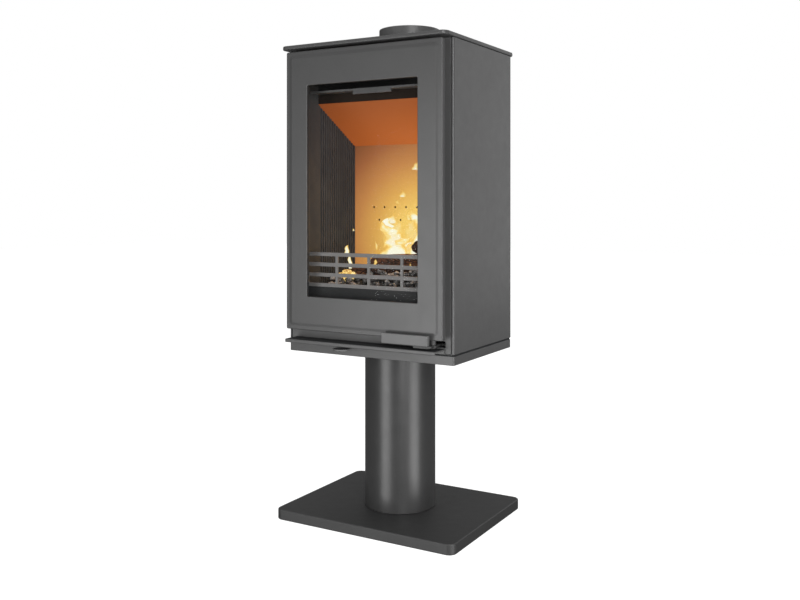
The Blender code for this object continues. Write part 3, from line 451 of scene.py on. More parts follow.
def lay(axis, outline, height):
    """An outline's (u, v) points as places at a height along an axis."""
    order = {"X": lambda u, v: (height, u, v),
             "Y": lambda u, v: (u, height, v),
             "Z": lambda u, v: (u, v, height)}
    return [order[axis](u, v) for u, v in outline]


def add_object(name, data):
    made = bpy.data.objects.new(name, data)
    bpy.context.scene.collection.objects.link(made)
    return made


def piece(name, points, faces, slot, body, sharp=CREASE, look=None):
    """A mesh piece with its faces turned outwards, riding on a body."""
    mesh = bpy.data.meshes.new(name)
    mesh.from_pydata(points, [], faces)
    work = bmesh.new()
    work.from_mesh(mesh)
    bmesh.ops.recalc_face_normals(work, faces=work.faces)
    work.to_mesh(mesh)
    work.free()
    made = add_object(name, mesh)
    shade(mesh, sharp)
    flat_faces(made)
    mesh.materials.append(look or LOOKS[slot])
    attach(made, body)
    return made


def flat_faces(made):
    """Lets large faces set the normals, so that flat stretches beside small fillets look flat."""
    modifier = made.modifiers.new("flat_faces", "WEIGHTED_NORMAL")
    modifier.weight = 90
    modifier.keep_sharp = True


def shade(mesh, sharp):
    mesh.shade_smooth()
    mesh.set_sharp_from_angle(angle=math.radians(sharp))


def skin(name, loops, slot, body, closed=False, **more):
    """A mesh through loops of as many points each, capped at its ends or closed into a ring."""
    count, points = len(loops[0]), [point for loop in loops for point in loop]
    faces = []
    for row in range(len(loops) if closed else len(loops) - 1):
        here, there = row * count, (row + 1) % len(loops) * count
        for i in range(count):
            j = (i + 1) % count
            faces.append((here + i, here + j, there + j, there + i))
    if not closed:
        faces += [tuple(range(count)), tuple(range(len(points) - count, len(points)))]
    return piece(name, points, faces, slot, body, **more)


def fillet(height, way, radius, steps=4):
    """(height, inset) pairs round an edge, from the cap out to the side. way points into the piece."""
    pairs = []
    for i in range(steps + 1):
        turn = math.pi / 2 * i / steps
        pairs.append((height + way * radius * (1 - math.cos(turn)), radius * (1 - math.sin(turn))))
    return pairs


def slab(name, axis, span, low, high, edge, slot, body):
    """A plate with round corners and all its edges rounded."""
    layers = fillet(low, 1, edge) + fillet(high, -1, edge)[::-1]
    return skin(name, [lay(axis, rounded(span, inset), height) for height, inset in layers], slot, body)


def prism(name, axis, outline, low, high, slot, body):
    return skin(name, [lay(axis, outline, low), lay(axis, outline, high)], slot, body)


def soften(made, width):
    """Rounds the piece's edges, before its other modifiers act."""
    modifier = made.modifiers.new("rounded_edges", "BEVEL")
    modifier.width = width
    modifier.segments = 3
    modifier.limit_method = "ANGLE"
    modifier.angle_limit = math.radians(BEVEL_ANGLE)
    made.modifiers.move(len(made.modifiers) - 1, 0)


def turned(name, profile, centre, slot, body, sides=128, look=None):
    """A closed profile of (radius, z) points turned about Z, round a centre."""
    loops = [[(centre[0] + radius * math.cos(math.tau * i / sides),
               centre[1] + radius * math.sin(math.tau * i / sides), z) for i in range(sides)]
             for radius, z in profile]
    return skin(name, loops, slot, body, closed=True, look=look)


def cutter(axis, outline, low, high, body="root"):
    """A prism for cut() to take away. It goes past the low and high faces of the part that it cuts."""
    return prism("cutter", axis, outline, low - CUT_MARGIN, high + CUT_MARGIN, "cast_paint", body)


def cut(made, *cutters):
    """The piece's mesh with the cutters' space taken away. The cutters are then removed."""
    made.modifiers.clear()
    for tool in cutters:
        modifier = made.modifiers.new("cut", "BOOLEAN")
        modifier.solver = "EXACT"
        modifier.object = tool
    bpy.context.view_layer.update()
    mesh = bpy.data.meshes.new_from_object(made.evaluated_get(bpy.context.evaluated_depsgraph_get()))
    made.modifiers.clear()
    made.data = mesh
    shade(mesh, CREASE)
    flat_faces(made)
    for tool in cutters:
        bpy.data.objects.remove(tool)


def paint_shade(made, chosen, look):
    """Gives the faces that chosen(centre, normal) picks a second, dark finish: painted shade."""
    made.data.materials.append(look)
    for face in made.data.polygons:
        if chosen(face.center, face.normal):
            face.material_index = 1


def within(at, span, margin):
    """Whether a place is in a (left, right, low, high, ...) rectangle that is grown by a margin."""
    left, right, low, high = span[:4]
    return left - margin < at.x < right + margin and low - margin < at.z < high + margin


def spans_of(node):
    """(left, right), (front, back), (low, high) of a node's box."""
    low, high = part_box(node)
    return (low.x, high.x), (low.y, high.y), (low.z, high.z)


# The stand


def base_plate():
    """A slab with a hollow underside."""
    xs, ys, zs = spans_of("base_plate")
    span, chamfer = (*xs, *ys, BASE_CORNER), 0.6 * MM
    layers = [(zs[1] - BASE_SKIN, BASE_RIM), (zs[0] + chamfer, BASE_RIM), (zs[0], BASE_RIM - chamfer)]
    layers += fillet(zs[0], 1, BASE_EDGE) + fillet(zs[1], -1, BASE_EDGE)[::-1]
    made = skin("base_slab", [lay("Z", rounded(span, inset), height) for height, inset in layers],
                "sheet_paint", "root")
    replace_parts(made, "base_plate")


def column():
    """A round tube with an air inlet at the back, low down."""
    xs, ys, zs = spans_of("column_tube")
    outer, wall, lip = xs[1], 4 * MM, 0.8 * MM
    inlet = (-34 * MM, 34 * MM, 62 * MM, 102 * MM, 12 * MM)
    profile = [(outer - wall, zs[0]), (outer - lip, zs[0]), (outer, zs[0] + lip), (outer, zs[1] - lip),
               (outer - lip, zs[1]), (outer - wall, zs[1])]
    made = turned("column_shell", profile, (0.0, 0.0), "column_paint", "root")
    cut(made, cutter("Y", rounded(inlet), ys[1] - 4 * wall, ys[1]))
    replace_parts(made, "column_tube")


# The outer body


def plinth():
    """A tray with a shadow groove round its top and a slot in front for the air tongue."""
    xs, ys, zs = spans_of("plinth")
    span, floor, wall, edge = (*xs, *ys, BODY_CORNER), 5 * MM, 6 * MM, 1.2 * MM
    groove, deep = 1.6 * MM, 2 * MM
    layers = fillet(zs[0], 1, edge) + fillet(zs[1] - groove, -1, 0.4 * MM, 2)[::-1]
    layers += [(zs[1] - groove, deep), (zs[1], deep), (zs[1], wall), (zs[0] + floor, wall)]
    tray = skin("plinth_tray", [lay("Z", rounded(span, inset), height) for height, inset in layers],
                "cast_paint", "root")
    left, right = TONGUE_CENTRE[0] - TONGUE_NECK - 0.6 * MM, TONGUE_CENTRE[0] + TONGUE_NECK + 0.6 * MM
    low, high = spans_of("air_control_tongue")[2][0] - 0.5 * MM, zs[1] + CUT_MARGIN
    slot = [(left, low), (right, low), (right, high), (left, high)]
    cut(tray, cutter("Y", slot, ys[0], ys[0] + wall))
    # Painted shade in the groove round the top.
    paint_shade(tray, lambda at, way: at.z > zs[1] - groove - 0.1 * MM, BLACK_IRON_AND_SHADE_LOOK)
    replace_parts(tray, "plinth")


def side_panels():
    """Castings with a round front edge and a shadow groove along their ends."""
    groove, deep, edge, front, back = 1.8 * MM, 1.8 * MM, 0.3 * MM, BODY_CORNER - 0.4 * MM, 2 * MM
    for side, node in ((-1, "side_panel_left"), (1, "side_panel_right")):
        xs, ys, zs = spans_of(node)
        outer, inner = max(map(abs, xs)), min(map(abs, xs))
        foot, head = zs[0] + groove, zs[1] - groove
        loops = []
        for z, inset in ((zs[0], deep), (foot, deep), (foot, edge), (foot + edge, 0.0),
                         (head - edge, 0.0), (head, edge), (head, deep), (zs[1], deep)):
            outline = [(inner, ys[1] - inset), (inner, ys[0] + inset)]
            outline += arc((outer - front, ys[0] + front), front - inset, 270.0, 360.0, 8)
            outline += arc((outer - back, ys[1] - back), back - inset, 0.0, 90.0, 4)
            loops.append(lay("Z", [(side * u, v) for u, v in outline], z))
        made = skin(node + "_casting", loops, "cast_paint", "root")
        # Painted shade in the grooves along the ends.
        paint_shade(made, lambda at, way: min(at.z - zs[0], zs[1] - at.z) < groove + 0.1 * MM, BLACK_IRON_AND_SHADE_LOOK)
        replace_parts(made, node)


def front_frame():
    """The frame behind the door, with a shadow groove round its edge and the pocket of the latch."""
    xs, ys, zs = spans_of("front_frame")
    outer, edge, groove, floor = (*xs, *zs, 4 * MM), MM, 2.4 * MM, ys[0] + 4 * MM
    loops = [lay("Y", rounded(outer, groove + inset), depth)
             for depth, inset in fillet(ys[0], 1, 0.5 * MM, 2)]
    loops += [lay("Y", rounded(outer, inset), depth)
              for inset, depth in ((groove, floor), (0.0, floor), (0.0, ys[1]))]
    loops.append(lay("Y", rounded(OPENING), ys[1]))
    loops += [lay("Y", rounded(OPENING, -inset), depth) for depth, inset in fillet(ys[0], 1, edge)[::-1]]
    # The frame wears the lighter copy of the cast paint: painted light where it lies in the door's shade.
    made = skin("frame_casting", loops, "cast_paint", "root", closed=True, look=LIGHTENED_FRAME_LOOK)
    cut(made, cutter("Y", rounded((*POCKET, 1.5 * MM), steps=3), *ys))
    # Painted shade on the faces round the opening.
    paint_shade(made, lambda at, way: abs(way.y) < 0.3 and within(at, OPENING, 2 * MM), BLACK_IRON_AND_SHADE_LOOK)
    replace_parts(made, "front_frame")


def top_plate():
    xs, ys, zs = spans_of("top_plate")
    made = slab("top_casting", "Z", (*xs, *ys, TOP_CORNER), *zs, TOP_EDGE, "cast_paint", "root")
    collar_x, collar_y, _ = spans_of("flue_collar")
    centre = (sum(collar_x) / 2, sum(collar_y) / 2)
    cut(made, cutter("Z", circle(centre, FLUE_HOLE_RADIUS, 128), *zs))
    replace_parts(made, "top_plate")


def flue_collar():
    """A spigot on a flange that lies under the top plate."""
    xs, ys, zs = spans_of("flue_collar")
    centre, flange = (sum(xs) / 2, sum(ys) / 2), (xs[1] - xs[0]) / 2
    outer, inner = flange - 13 * MM, flange - 16.5 * MM
    foot, seat, edge, lip = zs[0], zs[0] + 5 * MM, 0.5 * MM, 0.6 * MM
    profile = [(inner, foot), (flange - edge, foot), (flange, foot + edge), (flange, seat - edge),
               (flange - edge, seat), (outer + MM, seat), (outer, seat + MM)]
    profile += [(outer - inset, z) for z, inset in fillet(zs[1], -1, 1.4 * MM)[::-1]]
    profile += [(inner + lip, zs[1]), (inner, zs[1] - lip)]
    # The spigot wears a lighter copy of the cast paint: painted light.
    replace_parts(turned("flue_spigot", profile, centre, "cast_paint", "root", look=LIGHTENED_FLUE_LOOK), "flue_collar")


def outlet_cover():
    """A disc with a shallow ring groove in its back."""
    xs, ys, zs = spans_of("rear_outlet_cover")
    centre, radius, back, groove = (sum(xs) / 2, sum(zs) / 2), (xs[1] - xs[0]) / 2, ys[1], 1.2 * MM
    steps = [(0.0, ys[0]), (0.0, back - MM), (MM, back), (10 * MM, back), (11.5 * MM, back - groove),
             (16 * MM, back - groove), (17.5 * MM, back)]
    loops = [lay("Y", circle(centre, radius - inset, 96), depth) for inset, depth in steps]
    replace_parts(skin("outlet_disc", loops, "cast_paint", "root"), "rear_outlet_cover")


# The door


def door():
    """The leaf, a casting with a narrow rim and a raised field, and the shapes on its back."""
    rim_front = DOOR_FRONT + DOOR_STEP
    section = [(DOOR_SPAN, 0.0, DOOR_REAR), (DOOR_SPAN, 0.0, DOOR_REAR - 0.5 * MM)]
    section += [(DOOR_SPAN, inset, depth) for depth, inset in fillet(rim_front, 1, DOOR_EDGE, 5)[::-1]]
    field, steps = (*DOOR_SPAN[:4], DOOR_FIELD_CORNER + DOOR_RIM), 8
    for i in range(steps + 1):
        share = i / steps
        rise = DOOR_STEP * (1 - math.cos(math.pi * share)) / 2
        section.append((field, DOOR_RIM + DOOR_STEP_WIDTH * share, rim_front - rise))
    section += [(WINDOW, -inset, depth) for depth, inset in fillet(DOOR_FRONT, 1, 1.6 * MM)]
    section += [(WINDOW, 0.0, DOOR_FACE_BACK), (DOOR_SPAN, DOOR_WALL, DOOR_FACE_BACK),
                (DOOR_SPAN, DOOR_WALL, DOOR_REAR)]
    loops = [lay("Y", rounded(span, inset), depth) for span, inset, depth in section]
    leaf = skin("door_leaf", loops, "cast_paint", "door", closed=True)
    # Painted shade on the window's jambs.
    paint_shade(leaf, lambda at, way: abs(way.y) < 0.3 and within(at, WINDOW, MM), BLACK_IRON_AND_SHADE_LOOK)
    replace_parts(leaf, "door_casting")
    rope_channel()
    hinge_lugs()
    latch_boss()


def hinge_lugs():
    """Two lugs on the door's back that turn on the hinge pins."""
    (x, y), bore = HINGE_AXIS, 2.8 * MM
    span = (DOOR_SPAN[0] + 0.6 * MM, x + 6.4 * MM, DOOR_FACE_BACK - 0.5 * MM, y + 7.4 * MM, 3 * MM)
    for name, low in zip(("lower", "upper"), HINGE_LUGS):
        high = low + HINGE_LUG_HEIGHT
        lug = slab(f"door_lug_{name}", "Z", span, low, high, 0.8 * MM, "cast_paint", "door")
        cut(lug, cutter("Z", circle(HINGE_AXIS, bore, 24), low, high, "door"))


def latch_boss():
    """The round boss that the handle's pin turns in."""
    bore, outer, edge = 3.3 * MM, 7.5 * MM, 0.5 * MM
    foot, head = spans_of("handle_lever")[2][1] + 0.4 * MM, DOOR_SPAN[2] + 0.6 * MM
    profile = [(bore, foot), (outer - edge, foot), (outer, foot + edge), (outer, head), (bore, head)]
    # The dark sheet paint is partly painted shade, for the shade under the grip.
    turned("door_latch_boss", profile, HANDLE_AXIS, "sheet_paint", "door", sides=48)


def rope_channel():
    """The groove on the door's back that the rope sits in."""
    xs, ys, zs = spans_of("door_rope_seal")
    rope = (*xs, *zs, ROPE_CORNER)
    gap, lip, edge, root, back = 0.3 * MM, 2.2 * MM, 0.5 * MM, DOOR_FACE_BACK - 0.4 * MM, -157 * MM
    floor, outside, inside = ys[0] - gap, -gap - lip, ROPE_WIDTH + gap + lip
    section = [(outside, root), (outside, back - edge), (outside + edge, back), (-gap, back), (-gap, floor),
               (ROPE_WIDTH + gap, floor), (ROPE_WIDTH + gap, back), (inside - edge, back),
               (inside, back - edge), (inside, root)]
    skin("door_rope_channel", [lay("Y", rounded(rope, inset), depth) for inset, depth in section],
         "sheet_paint", "door", closed=True)


def rope_seal():
    """The door rope, an oval ring with a UV map for its braid: metres along it, and turns round it."""
    xs, ys, zs = spans_of("door_rope_seal")
    span, deep, sides = (*xs, *zs, ROPE_CORNER), (ys[1] - ys[0]) / 2, 20
    loops = []
    for i in range(sides):
        turn = math.tau * i / sides
        inset = ROPE_WIDTH / 2 * (1 - math.cos(turn))
        loops.append(lay("Y", rounded(span, inset), sum(ys) / 2 + deep * math.sin(turn)))
    made = skin("door_rope", loops, "seal_rope", "door", closed=True)
    lengths = [0.0]
    path = [Vector(point) for point in loops[0]]
    for a, b in zip(path, path[1:] + path[:1]):
        lengths.append(lengths[-1] + (b - a).length)
    layer = made.data.uv_layers.new(name="along_and_round")
    count = len(path)
    for face in made.data.polygons:
        places = [divmod(made.data.loops[k].vertex_index, count) for k in face.loop_indices]
        last_length = {along for _, along in places} == {0, count - 1}
        last_turn = {turn for turn, _ in places} == {0, sides - 1}
        for k, (turn, along) in zip(face.loop_indices, places):
            layer.data[k].uv = (lengths[count if last_length and along == 0 else along],
                                (sides if last_turn and turn == 0 else turn) / sides)
    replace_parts(made, "door_rope_seal")


# The handle, the ash lip and the air control


def handle():
    xs, ys, zs = spans_of("handle_grip")
    grip = slab("grip_bar", "Y", (*xs, *zs, 1.6 * MM), *ys, MM, "handle_paint", "handle")
    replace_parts(grip, "handle_grip")


def ash_lip():
    """A shelf with a flange at its back and a turned-down front edge."""
    xs, ys, zs = spans_of("ash_lip")
    front, back, low, high = ys[0], ys[1], zs[0] + 3 * MM, zs[1]
    flange, shelf, rim, nose = 4 * MM, 2.4 * MM, 2.6 * MM, 1.2 * MM
    section = [(front, low + MM), (front + MM, low), (front + rim, low), (front + rim, high - shelf),
               (back - flange, high - shelf), (back - flange, zs[0]), (back, zs[0]), (back, high),
               (front + nose, high), (front, high - nose)]
    made = prism("ash_lip_casting", "X", section, *xs, "cast_paint", "root")
    soften(made, 0.6 * MM)
    # Painted shade on the lip's top.
    paint_shade(made, lambda at, way: way.z > 0.9, BLACK_IRON_AND_SHADE_LOOK)
    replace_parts(made, "ash_lip")


def air_control():
    """A round finger tab on a straight neck."""
    _, ys, zs = spans_of("air_control_tongue")
    x, back = TONGUE_CENTRE[0], ys[1]
    reach = math.degrees(math.asin(TONGUE_NECK / TONGUE_RADIUS))
    outline = arc(TONGUE_CENTRE, TONGUE_RADIUS, 90.0 + reach, 450.0 - reach, 48)
    outline += [(x + TONGUE_NECK, back), (x - TONGUE_NECK, back)]
    made = prism("air_tongue", "Z", outline, *zs, "handle_paint", "air_control")
    soften(made, 0.7 * MM)
    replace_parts(made, "air_control_tongue")


# Inside the firebox


def log_fence():
    """Four bars across three posts, between narrow end uprights."""
    xs, ys, zs = spans_of("log_fence")
    posts = [(xs[0], xs[0] + FENCE_END)]
    posts += [(x - FENCE_POST / 2, x + FENCE_POST / 2) for x in FENCE_POSTS_AT]
    posts.append((xs[1] - FENCE_END, xs[1]))
    made = slab("fence_casting", "Y", (*xs, *zs, 1.2 * MM), *ys, 0.5 * MM, "fence_iron", "root")
    gaps = []
    for row in range(FENCE_ROWS):
        low = zs[0] + row * FENCE_PITCH + FENCE_BAR
        for (_, left), (right, _) in zip(posts, posts[1:]):
            span = (left, right, low, low + FENCE_PITCH - FENCE_BAR, 1.4 * MM)
            gaps.append(cutter("Y", rounded(span, steps=3), *ys))
    cut(made, *gaps)
    soften(made, 0.5 * MM)
    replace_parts(made, "log_fence")


def log(name, start, end, radius, seed, look):
    """A split log: a lumpy tapering tube with a flat split side and rough sawn ends."""
    start, end = Vector(start), Vector(end)
    way = (end - start).normalized()
    side = way.cross(Vector((0, 0, 1))).normalized()
    up = side.cross(way)
    rows, sides, loops = 26, 28, []
    for row in range(rows + 1):
        share = row / rows
        centre = start.lerp(end, share) + up * radius * 0.12 * math.sin(math.pi * share)
        end_round = min(1.0, 0.80 + 6.0 * min(share, 1 - share))
        loop = []
        for i in range(sides):
            turn = math.tau * i / sides
            way_out = side * math.cos(turn) + up * math.sin(turn)
            flat = 1.0 - 0.34 * max(0.0, math.cos(turn - 0.9 - seed)) ** 3
            swell = noise.noise(way_out * 1.4 + way * share * 3.5 + Vector((seed * 7.1, 0, 0)))
            groove = noise.noise(way_out * 5.5 + way * share * 1.6 + Vector((0, seed * 3.3, 0)))
            size = radius * end_round * flat * (1 + 0.16 * swell + 0.10 * groove)
            saw = way * 0.004 * groove if row in (0, rows) else Vector()
            loop.append(tuple(centre + way_out * size + saw))
        loops.append(loop)
    skin(name, loops, None, "root", sharp=ROUGH_CREASE, look=look)


def lump(name, centre, size, seed, look):
    """A broken piece of charcoal."""
    work = bmesh.new()
    bmesh.ops.create_icosphere(work, subdivisions=3, radius=1.0)
    turn = Matrix.Rotation(seed * 2.1, 3, "Z") @ Matrix.Rotation(seed * 1.3, 3, "X")
    shift = Vector((seed * 3.7, seed, 0))
    for vertex in work.verts:
        way = vertex.co.normalized()
        facet = max(abs(way.x), abs(way.y), abs(way.z))
        bumps = 0.30 * noise.noise(way * 1.7 + shift) + 0.12 * noise.noise(way * 5 + shift)
        swell = 0.72 / facet * 0.6 + 0.4 + bumps
        vertex.co = turn @ Vector([c * s for c, s in zip(way * swell, size)]) + Vector(centre)
    points = [tuple(v.co) for v in work.verts]
    faces = [tuple(v.index for v in f.verts) for f in work.faces]
    work.free()
    piece(name, points, faces, None, "root", sharp=ROUGH_CREASE, look=look)


def ash_heap():
    """A low uneven bed of ash on the hearth."""
    floor = spans_of("hearth_plate")[2][1] + 0.3 * MM
    left, right, front, back, columns, rows = -0.150, 0.150, -0.118, 0.062, 60, 36
    top, under = [], []
    for j in range(rows + 1):
        for i in range(columns + 1):
            u, v = i / columns, j / rows
            x, y = left + (right - left) * u, front + (back - front) * v
            rise = (math.sin(math.pi * u) * math.sin(math.pi * v)) ** 0.5
            bumps = noise.noise(Vector((x, y, 0.0)) * 38) * 0.35
            bumps += noise.noise(Vector((x, y, 2.0)) * 120) * 0.22
            top.append((x, y, floor + 0.4 * MM + rise * (0.010 + 0.006 * bumps)))
            under.append((x, y, floor))
    wide, count, faces = columns + 1, len(top), []
    for j in range(rows):
        for i in range(columns):
            a = j * wide + i
            faces.append((a, a + 1, a + wide + 1, a + wide))
            faces.append((count + a, count + a + wide, count + a + wide + 1, count + a + 1))
    rim = list(range(wide)) + [j * wide + columns for j in range(1, rows + 1)]
    rim += [rows * wide + i for i in range(columns - 1, -1, -1)]
    rim += [j * wide for j in range(rows - 1, 0, -1)]
    for a, b in zip(rim, rim[1:] + rim[:1]):
        faces.append((a, b, count + b, count + a))
    piece("ash_bed", top + under, faces, None, "root", sharp=ROUGH_CREASE, look=ash_dust())


def flame_tongue(name, root, height, width, lean, turn, seed, look):
    """A tongue of flame: a thin leaf that swells, sways and draws out to a tip."""
    rows, sides = 30, 20
    across = Vector((math.cos(turn), math.sin(turn), 0))
    through = Vector((-math.sin(turn), math.cos(turn), 0))
    loops, where = [], []
    for row in range(rows + 1):
        v = row / rows
        sway = 0.20 * math.sin(5.0 * v + seed) * v + 0.08 * math.sin(12.0 * v + 2.3 * seed) * v
        middle = Vector(root) + Vector((0, 0, height * v)) + across * (width * sway + lean * v * v)
        middle += through * width * 0.4 * math.sin(3.7 * v + 1.7 * seed) * v
        swell = (v + 0.15) ** 0.22 * (1.001 - v) ** 0.60 * (1 + 0.14 * math.sin(9.0 * v + 3.1 * seed))
        wide = width * 0.5 * swell
        loop = []
        for i in range(sides):
            angle = math.tau * i / sides
            u = math.cos(angle)
            ripple = 1 + 0.12 * math.sin(17.0 * v + 2.0 * u + seed)
            thick = through * wide * 0.34 * math.sin(angle)
            loop.append(tuple(middle + across * wide * u * ripple + thick))
            where.append((u, v))
        loops.append(loop)
    made = skin(name, loops, None, "root", sharp=80.0, look=look)
    layer = made.data.uv_layers.new(name="across_and_up")
    for corner, loop in zip(layer.data, made.data.loops):
        corner.uv = where[loop.vertex_index]


def logs():
    wood = bark()
    for i, (start, end, radius, seed) in enumerate((
            ((-0.050, -0.050, 0.606), (0.160, -0.015, 0.612), 0.025, 0.4),
            ((-0.055, 0.034, 0.584), (0.140, 0.046, 0.588), 0.026, 2.1),
            ((0.056, 0.040, 0.626), (0.086, -0.070, 0.650), 0.016, 3.9),
            ((-0.122, -0.026, 0.581), (-0.044, 0.002, 0.586), 0.014, 5.2))):
        log(f"log_{i + 1}", start, end, radius, seed, wood)


def charcoal():
    """A bed of dull lumps, heaped higher at the front right, and four that glow at its left."""
    glowing, dull = ember("looks_ember", 1.3, 0.10), ember("looks_charcoal", 0.0, 0.85)
    draw, lumps, foot, low_heap, high_heap = random.Random(11), 150, 0.549, 0.022, 0.045
    for i in range(lumps):
        x, y = draw.uniform(-0.155, 0.150), draw.uniform(-0.118, 0.050)
        size = [draw.uniform(0.005, 0.013) for _ in range(3)]
        heap = low_heap if x < -0.055 or y > -0.060 else high_heap
        lump(f"coal_{i + 1}", (x, y, foot + draw.uniform(0.0, heap)), size, draw.uniform(0.0, 6.0), dull)
    for i, (x, z, size) in enumerate(((-0.136, 0.576, 0.010), (-0.122, 0.580, 0.012),
                                      (-0.108, 0.577, 0.010), (-0.129, 0.568, 0.010))):
        lump(f"ember_{i + 1}", (x, -0.052, z), (1.3 * size, size, 0.8 * size), 1.7 * i, glowing)


def flames():
    """Each flame's foot, height, width, lean, turn in degrees and look, then loose puffs above them."""
    bright = flame("looks_flame", 1.32, 0.94)
    soft = flame("looks_flame_haze", 0.62, 0.34)
    faint = flame("looks_flame_puff", 0.66, 0.55)
    for i, (root, height, width, lean, turn, look) in enumerate((
            ((-0.006, -0.020, 0.610), 0.098, 0.112, 0.000, 28, bright),
            ((-0.028, -0.016, 0.690), 0.030, 0.042, 0.004, 28, bright),
            ((-0.012, -0.016, 0.704), 0.034, 0.026, 0.004, 28, faint),
            ((0.058, -0.010, 0.612), 0.130, 0.090, 0.000, 28, bright),
            ((0.026, 0.004, 0.608), 0.064, 0.150, 0.000, 28, bright),
            ((0.012, 0.030, 0.600), 0.180, 0.150, 0.010, 25, soft),
            ((0.100, 0.020, 0.604), 0.150, 0.090, -0.010, 25, soft),
            ((-0.122, -0.035, 0.592), 0.042, 0.013, -0.003, 28, bright),
            ((-0.131, -0.035, 0.630), 0.026, 0.019, 0.003, 28, bright),
            ((-0.022, -0.082, 0.600), 0.022, 0.017, 0.001, 28, bright),
            ((-0.056, -0.020, 0.628), 0.032, 0.010, 0.001, 28, faint),
            ((0.066, -0.066, 0.598), 0.022, 0.010, 0.002, 28, faint))):
        flame_tongue(f"flame_{i + 1}", root, height, width, lean, math.radians(turn), 1.9 * i, look)
    for i, (x, z, half) in enumerate(((0.016, 0.778, 0.010), (0.004, 0.756, 0.008), (0.052, 0.843, 0.010),
                                      (-0.124, 0.687, 0.003), (0.034, 0.722, 0.008))):
        flame_tongue(f"flame_puff_{i + 1}", (x, -0.018, z - half), 2.0 * half, 2.2 * half, 0.2 * half, 0.5,
                     2.2 * i, faint)


def fire():
    ash_heap()
    logs()
    charcoal()
    flames()


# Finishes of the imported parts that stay


def dress():
    """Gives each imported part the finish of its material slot, or one of its own."""
    slot_of = {row["node"]: row["material_slot"] for row in frame["record"]["subparts"]}
    # The sill and shell take the near-black iron that partly stands for deep shade, the liners the iron with
    # painted shade in its grooves, and the baffle the board with painted firelight.
    special = {"baffle": BAFFLE_LOOK, "hearth_sill": BLACK_IRON_AND_SHADE_LOOK, "firebox_shell": BLACK_IRON_AND_SHADE_LOOK,
               "liner_left": LINER_LOOK, "liner_right": LINER_LOOK, "glass_gasket": TAPE_LOOK,
               "air_wash_deflector": LOOKS["cast_paint"]}
    # The lever takes the dark sheet paint partly as painted shade under the grip.
    for node in ("glass_retainer_left", "glass_retainer_right", "handle_lever", "latch_keeper",
                 "handle_pivot_pin"):
        special[node] = LOOKS["sheet_paint"]
    for node, thing in frame["nodes"].items():
        thing.data.materials.clear()
        thing.data.materials.append(special.get(node, LOOKS[slot_of[node]]))


# The studio


def softbox(name, azimuth, distance, height, size, power, target_height):
    """A white area light on a circle round the stove, aimed at a height on its axis."""
    lamp = bpy.data.lights.new(name, "AREA")
    lamp.shape = "RECTANGLE"
    lamp.size, lamp.size_y = size
    lamp.energy = power
    holder = add_object(name, lamp)
    turn = math.radians(azimuth)
    holder.location = (distance * math.cos(turn), distance * math.sin(turn), height)
    way = Vector((0.0, 0.0, target_height)) - holder.location
    holder.rotation_euler = way.to_track_quat("-Z", "Y").to_euler()


def glow(name, place, power, radius, colour):
    """A soft point light in the firebox."""
    lamp = bpy.data.lights.new(name, "POINT")
    lamp.energy, lamp.shadow_soft_size, lamp.color = power, radius, colour
    holder = add_object(name, lamp)
    holder.location = place
    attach(holder, "root")


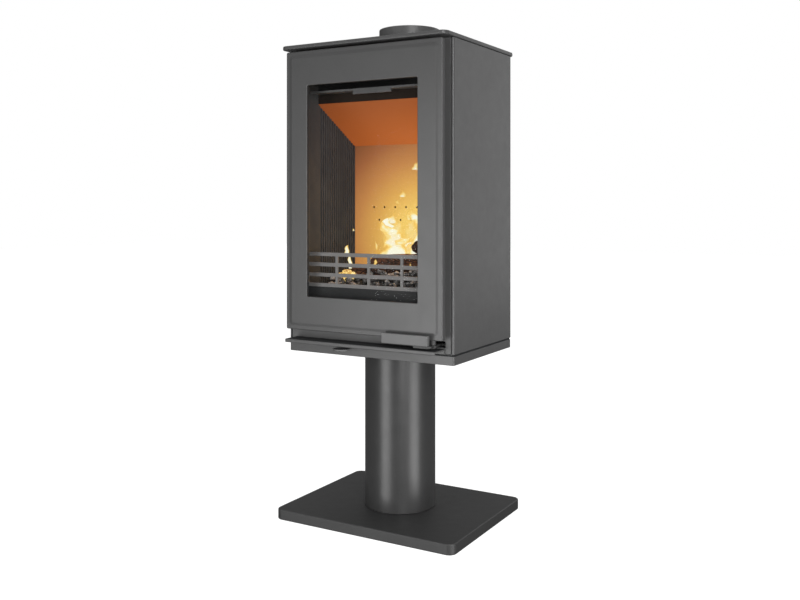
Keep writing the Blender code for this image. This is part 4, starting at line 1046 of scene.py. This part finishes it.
def studio_world():
    """White to the camera. To the stove, a dim room with a pale band at the horizon and a bright ceiling.

    sky goes from straight below, at 0, to straight above, at 1, and its last stop is a dark spot up there.
    """
    sky = ((0.0, 0.05), (0.47, 0.13), (0.53, 0.13), (0.63, 0.045), (1.0, 1.0), (1.0, 0.05))
    made = bpy.data.worlds.new("studio")
    bpy.context.scene.world = made
    made.use_nodes = True
    nodes, links = made.node_tree.nodes, made.node_tree.links
    nodes.clear()
    height = nodes.new("ShaderNodeSeparateXYZ")
    links.new(nodes.new("ShaderNodeTexCoord").outputs["Generated"], height.inputs[0])
    rise = nodes.new("ShaderNodeMapRange")
    rise.inputs["From Min"].default_value = -1.0
    links.new(height.outputs["Z"], rise.inputs["Value"])
    ramp = nodes.new("ShaderNodeValToRGB")
    links.new(rise.outputs[0], ramp.inputs["Fac"])
    stops = ramp.color_ramp.elements
    for position, _ in sky[1:-1]:
        stops.new(position)
    for stop, (_, level) in zip(stops, sky):
        stop.color = opaque(grey(level))
    room = nodes.new("ShaderNodeBackground")
    links.new(ramp.outputs["Color"], room.inputs["Color"])
    white = nodes.new("ShaderNodeBackground")
    white.inputs["Color"].default_value = opaque(grey(1.0))
    choose = nodes.new("ShaderNodeMixShader")
    links.new(nodes.new("ShaderNodeLightPath").outputs["Is Camera Ray"], choose.inputs[0])
    links.new(room.outputs[0], choose.inputs[1])
    links.new(white.outputs[0], choose.inputs[2])
    links.new(choose.outputs[0], nodes.new("ShaderNodeOutputWorld").inputs["Surface"])


def studio_floor():
    """A white floor just under the stove that casts no light on it."""
    look = Look("studio_floor")
    paleness = look.span(look.noise(3.0, 2.0), 0.0, 1.0, 0.93, 0.95)
    look.finish(Base_Color=opaque(grey(0.30)), Roughness=0.9, Emission_Color=opaque(grey(1.0)),
                Emission_Strength=paleness)
    half, drop, mesh = 12.0, 0.4 * MM, bpy.data.meshes.new("studio_floor")
    corners = [(-half, -half, -drop), (half, -half, -drop), (half, half, -drop), (-half, half, -drop)]
    mesh.from_pydata(corners, [], [(0, 1, 2, 3)])
    mesh.materials.append(look.material)
    made = add_object("studio_floor", mesh)
    made.visible_diffuse = False
    made.visible_glossy = False
    made.visible_shadow = False


def studio_camera():
    eye = bpy.data.cameras.new("view")
    eye.lens, eye.sensor_width, eye.shift_y = LENS, SENSOR, SHIFT
    holder = add_object("view", eye)
    holder.location = EYE
    holder.rotation_euler = (math.radians(90.0), 0.0, math.radians(HEADING))
    bpy.context.scene.camera = holder


def studio():
    bpy.context.scene.view_settings.view_transform = "Standard"
    studio_world()
    for name, setting in SOFTBOXES.items():
        softbox(name, *setting)
    glow("fire_light", (0.045, -0.030, 0.690), power=0.8, radius=0.05, colour=(1.0, 0.50, 0.16))
    glow("inner_fill", (0.110, -0.110, 0.830), power=0.28, radius=0.06, colour=(0.78, 0.90, 1.0))
    studio_floor()
    studio_camera()


def main():
    dress()
    base_plate()
    column()
    plinth()
    side_panels()
    front_frame()
    top_plate()
    flue_collar()
    outlet_cover()
    door()
    rope_seal()
    handle()
    ash_lip()
    air_control()
    log_fence()
    fire()
    studio()


main()
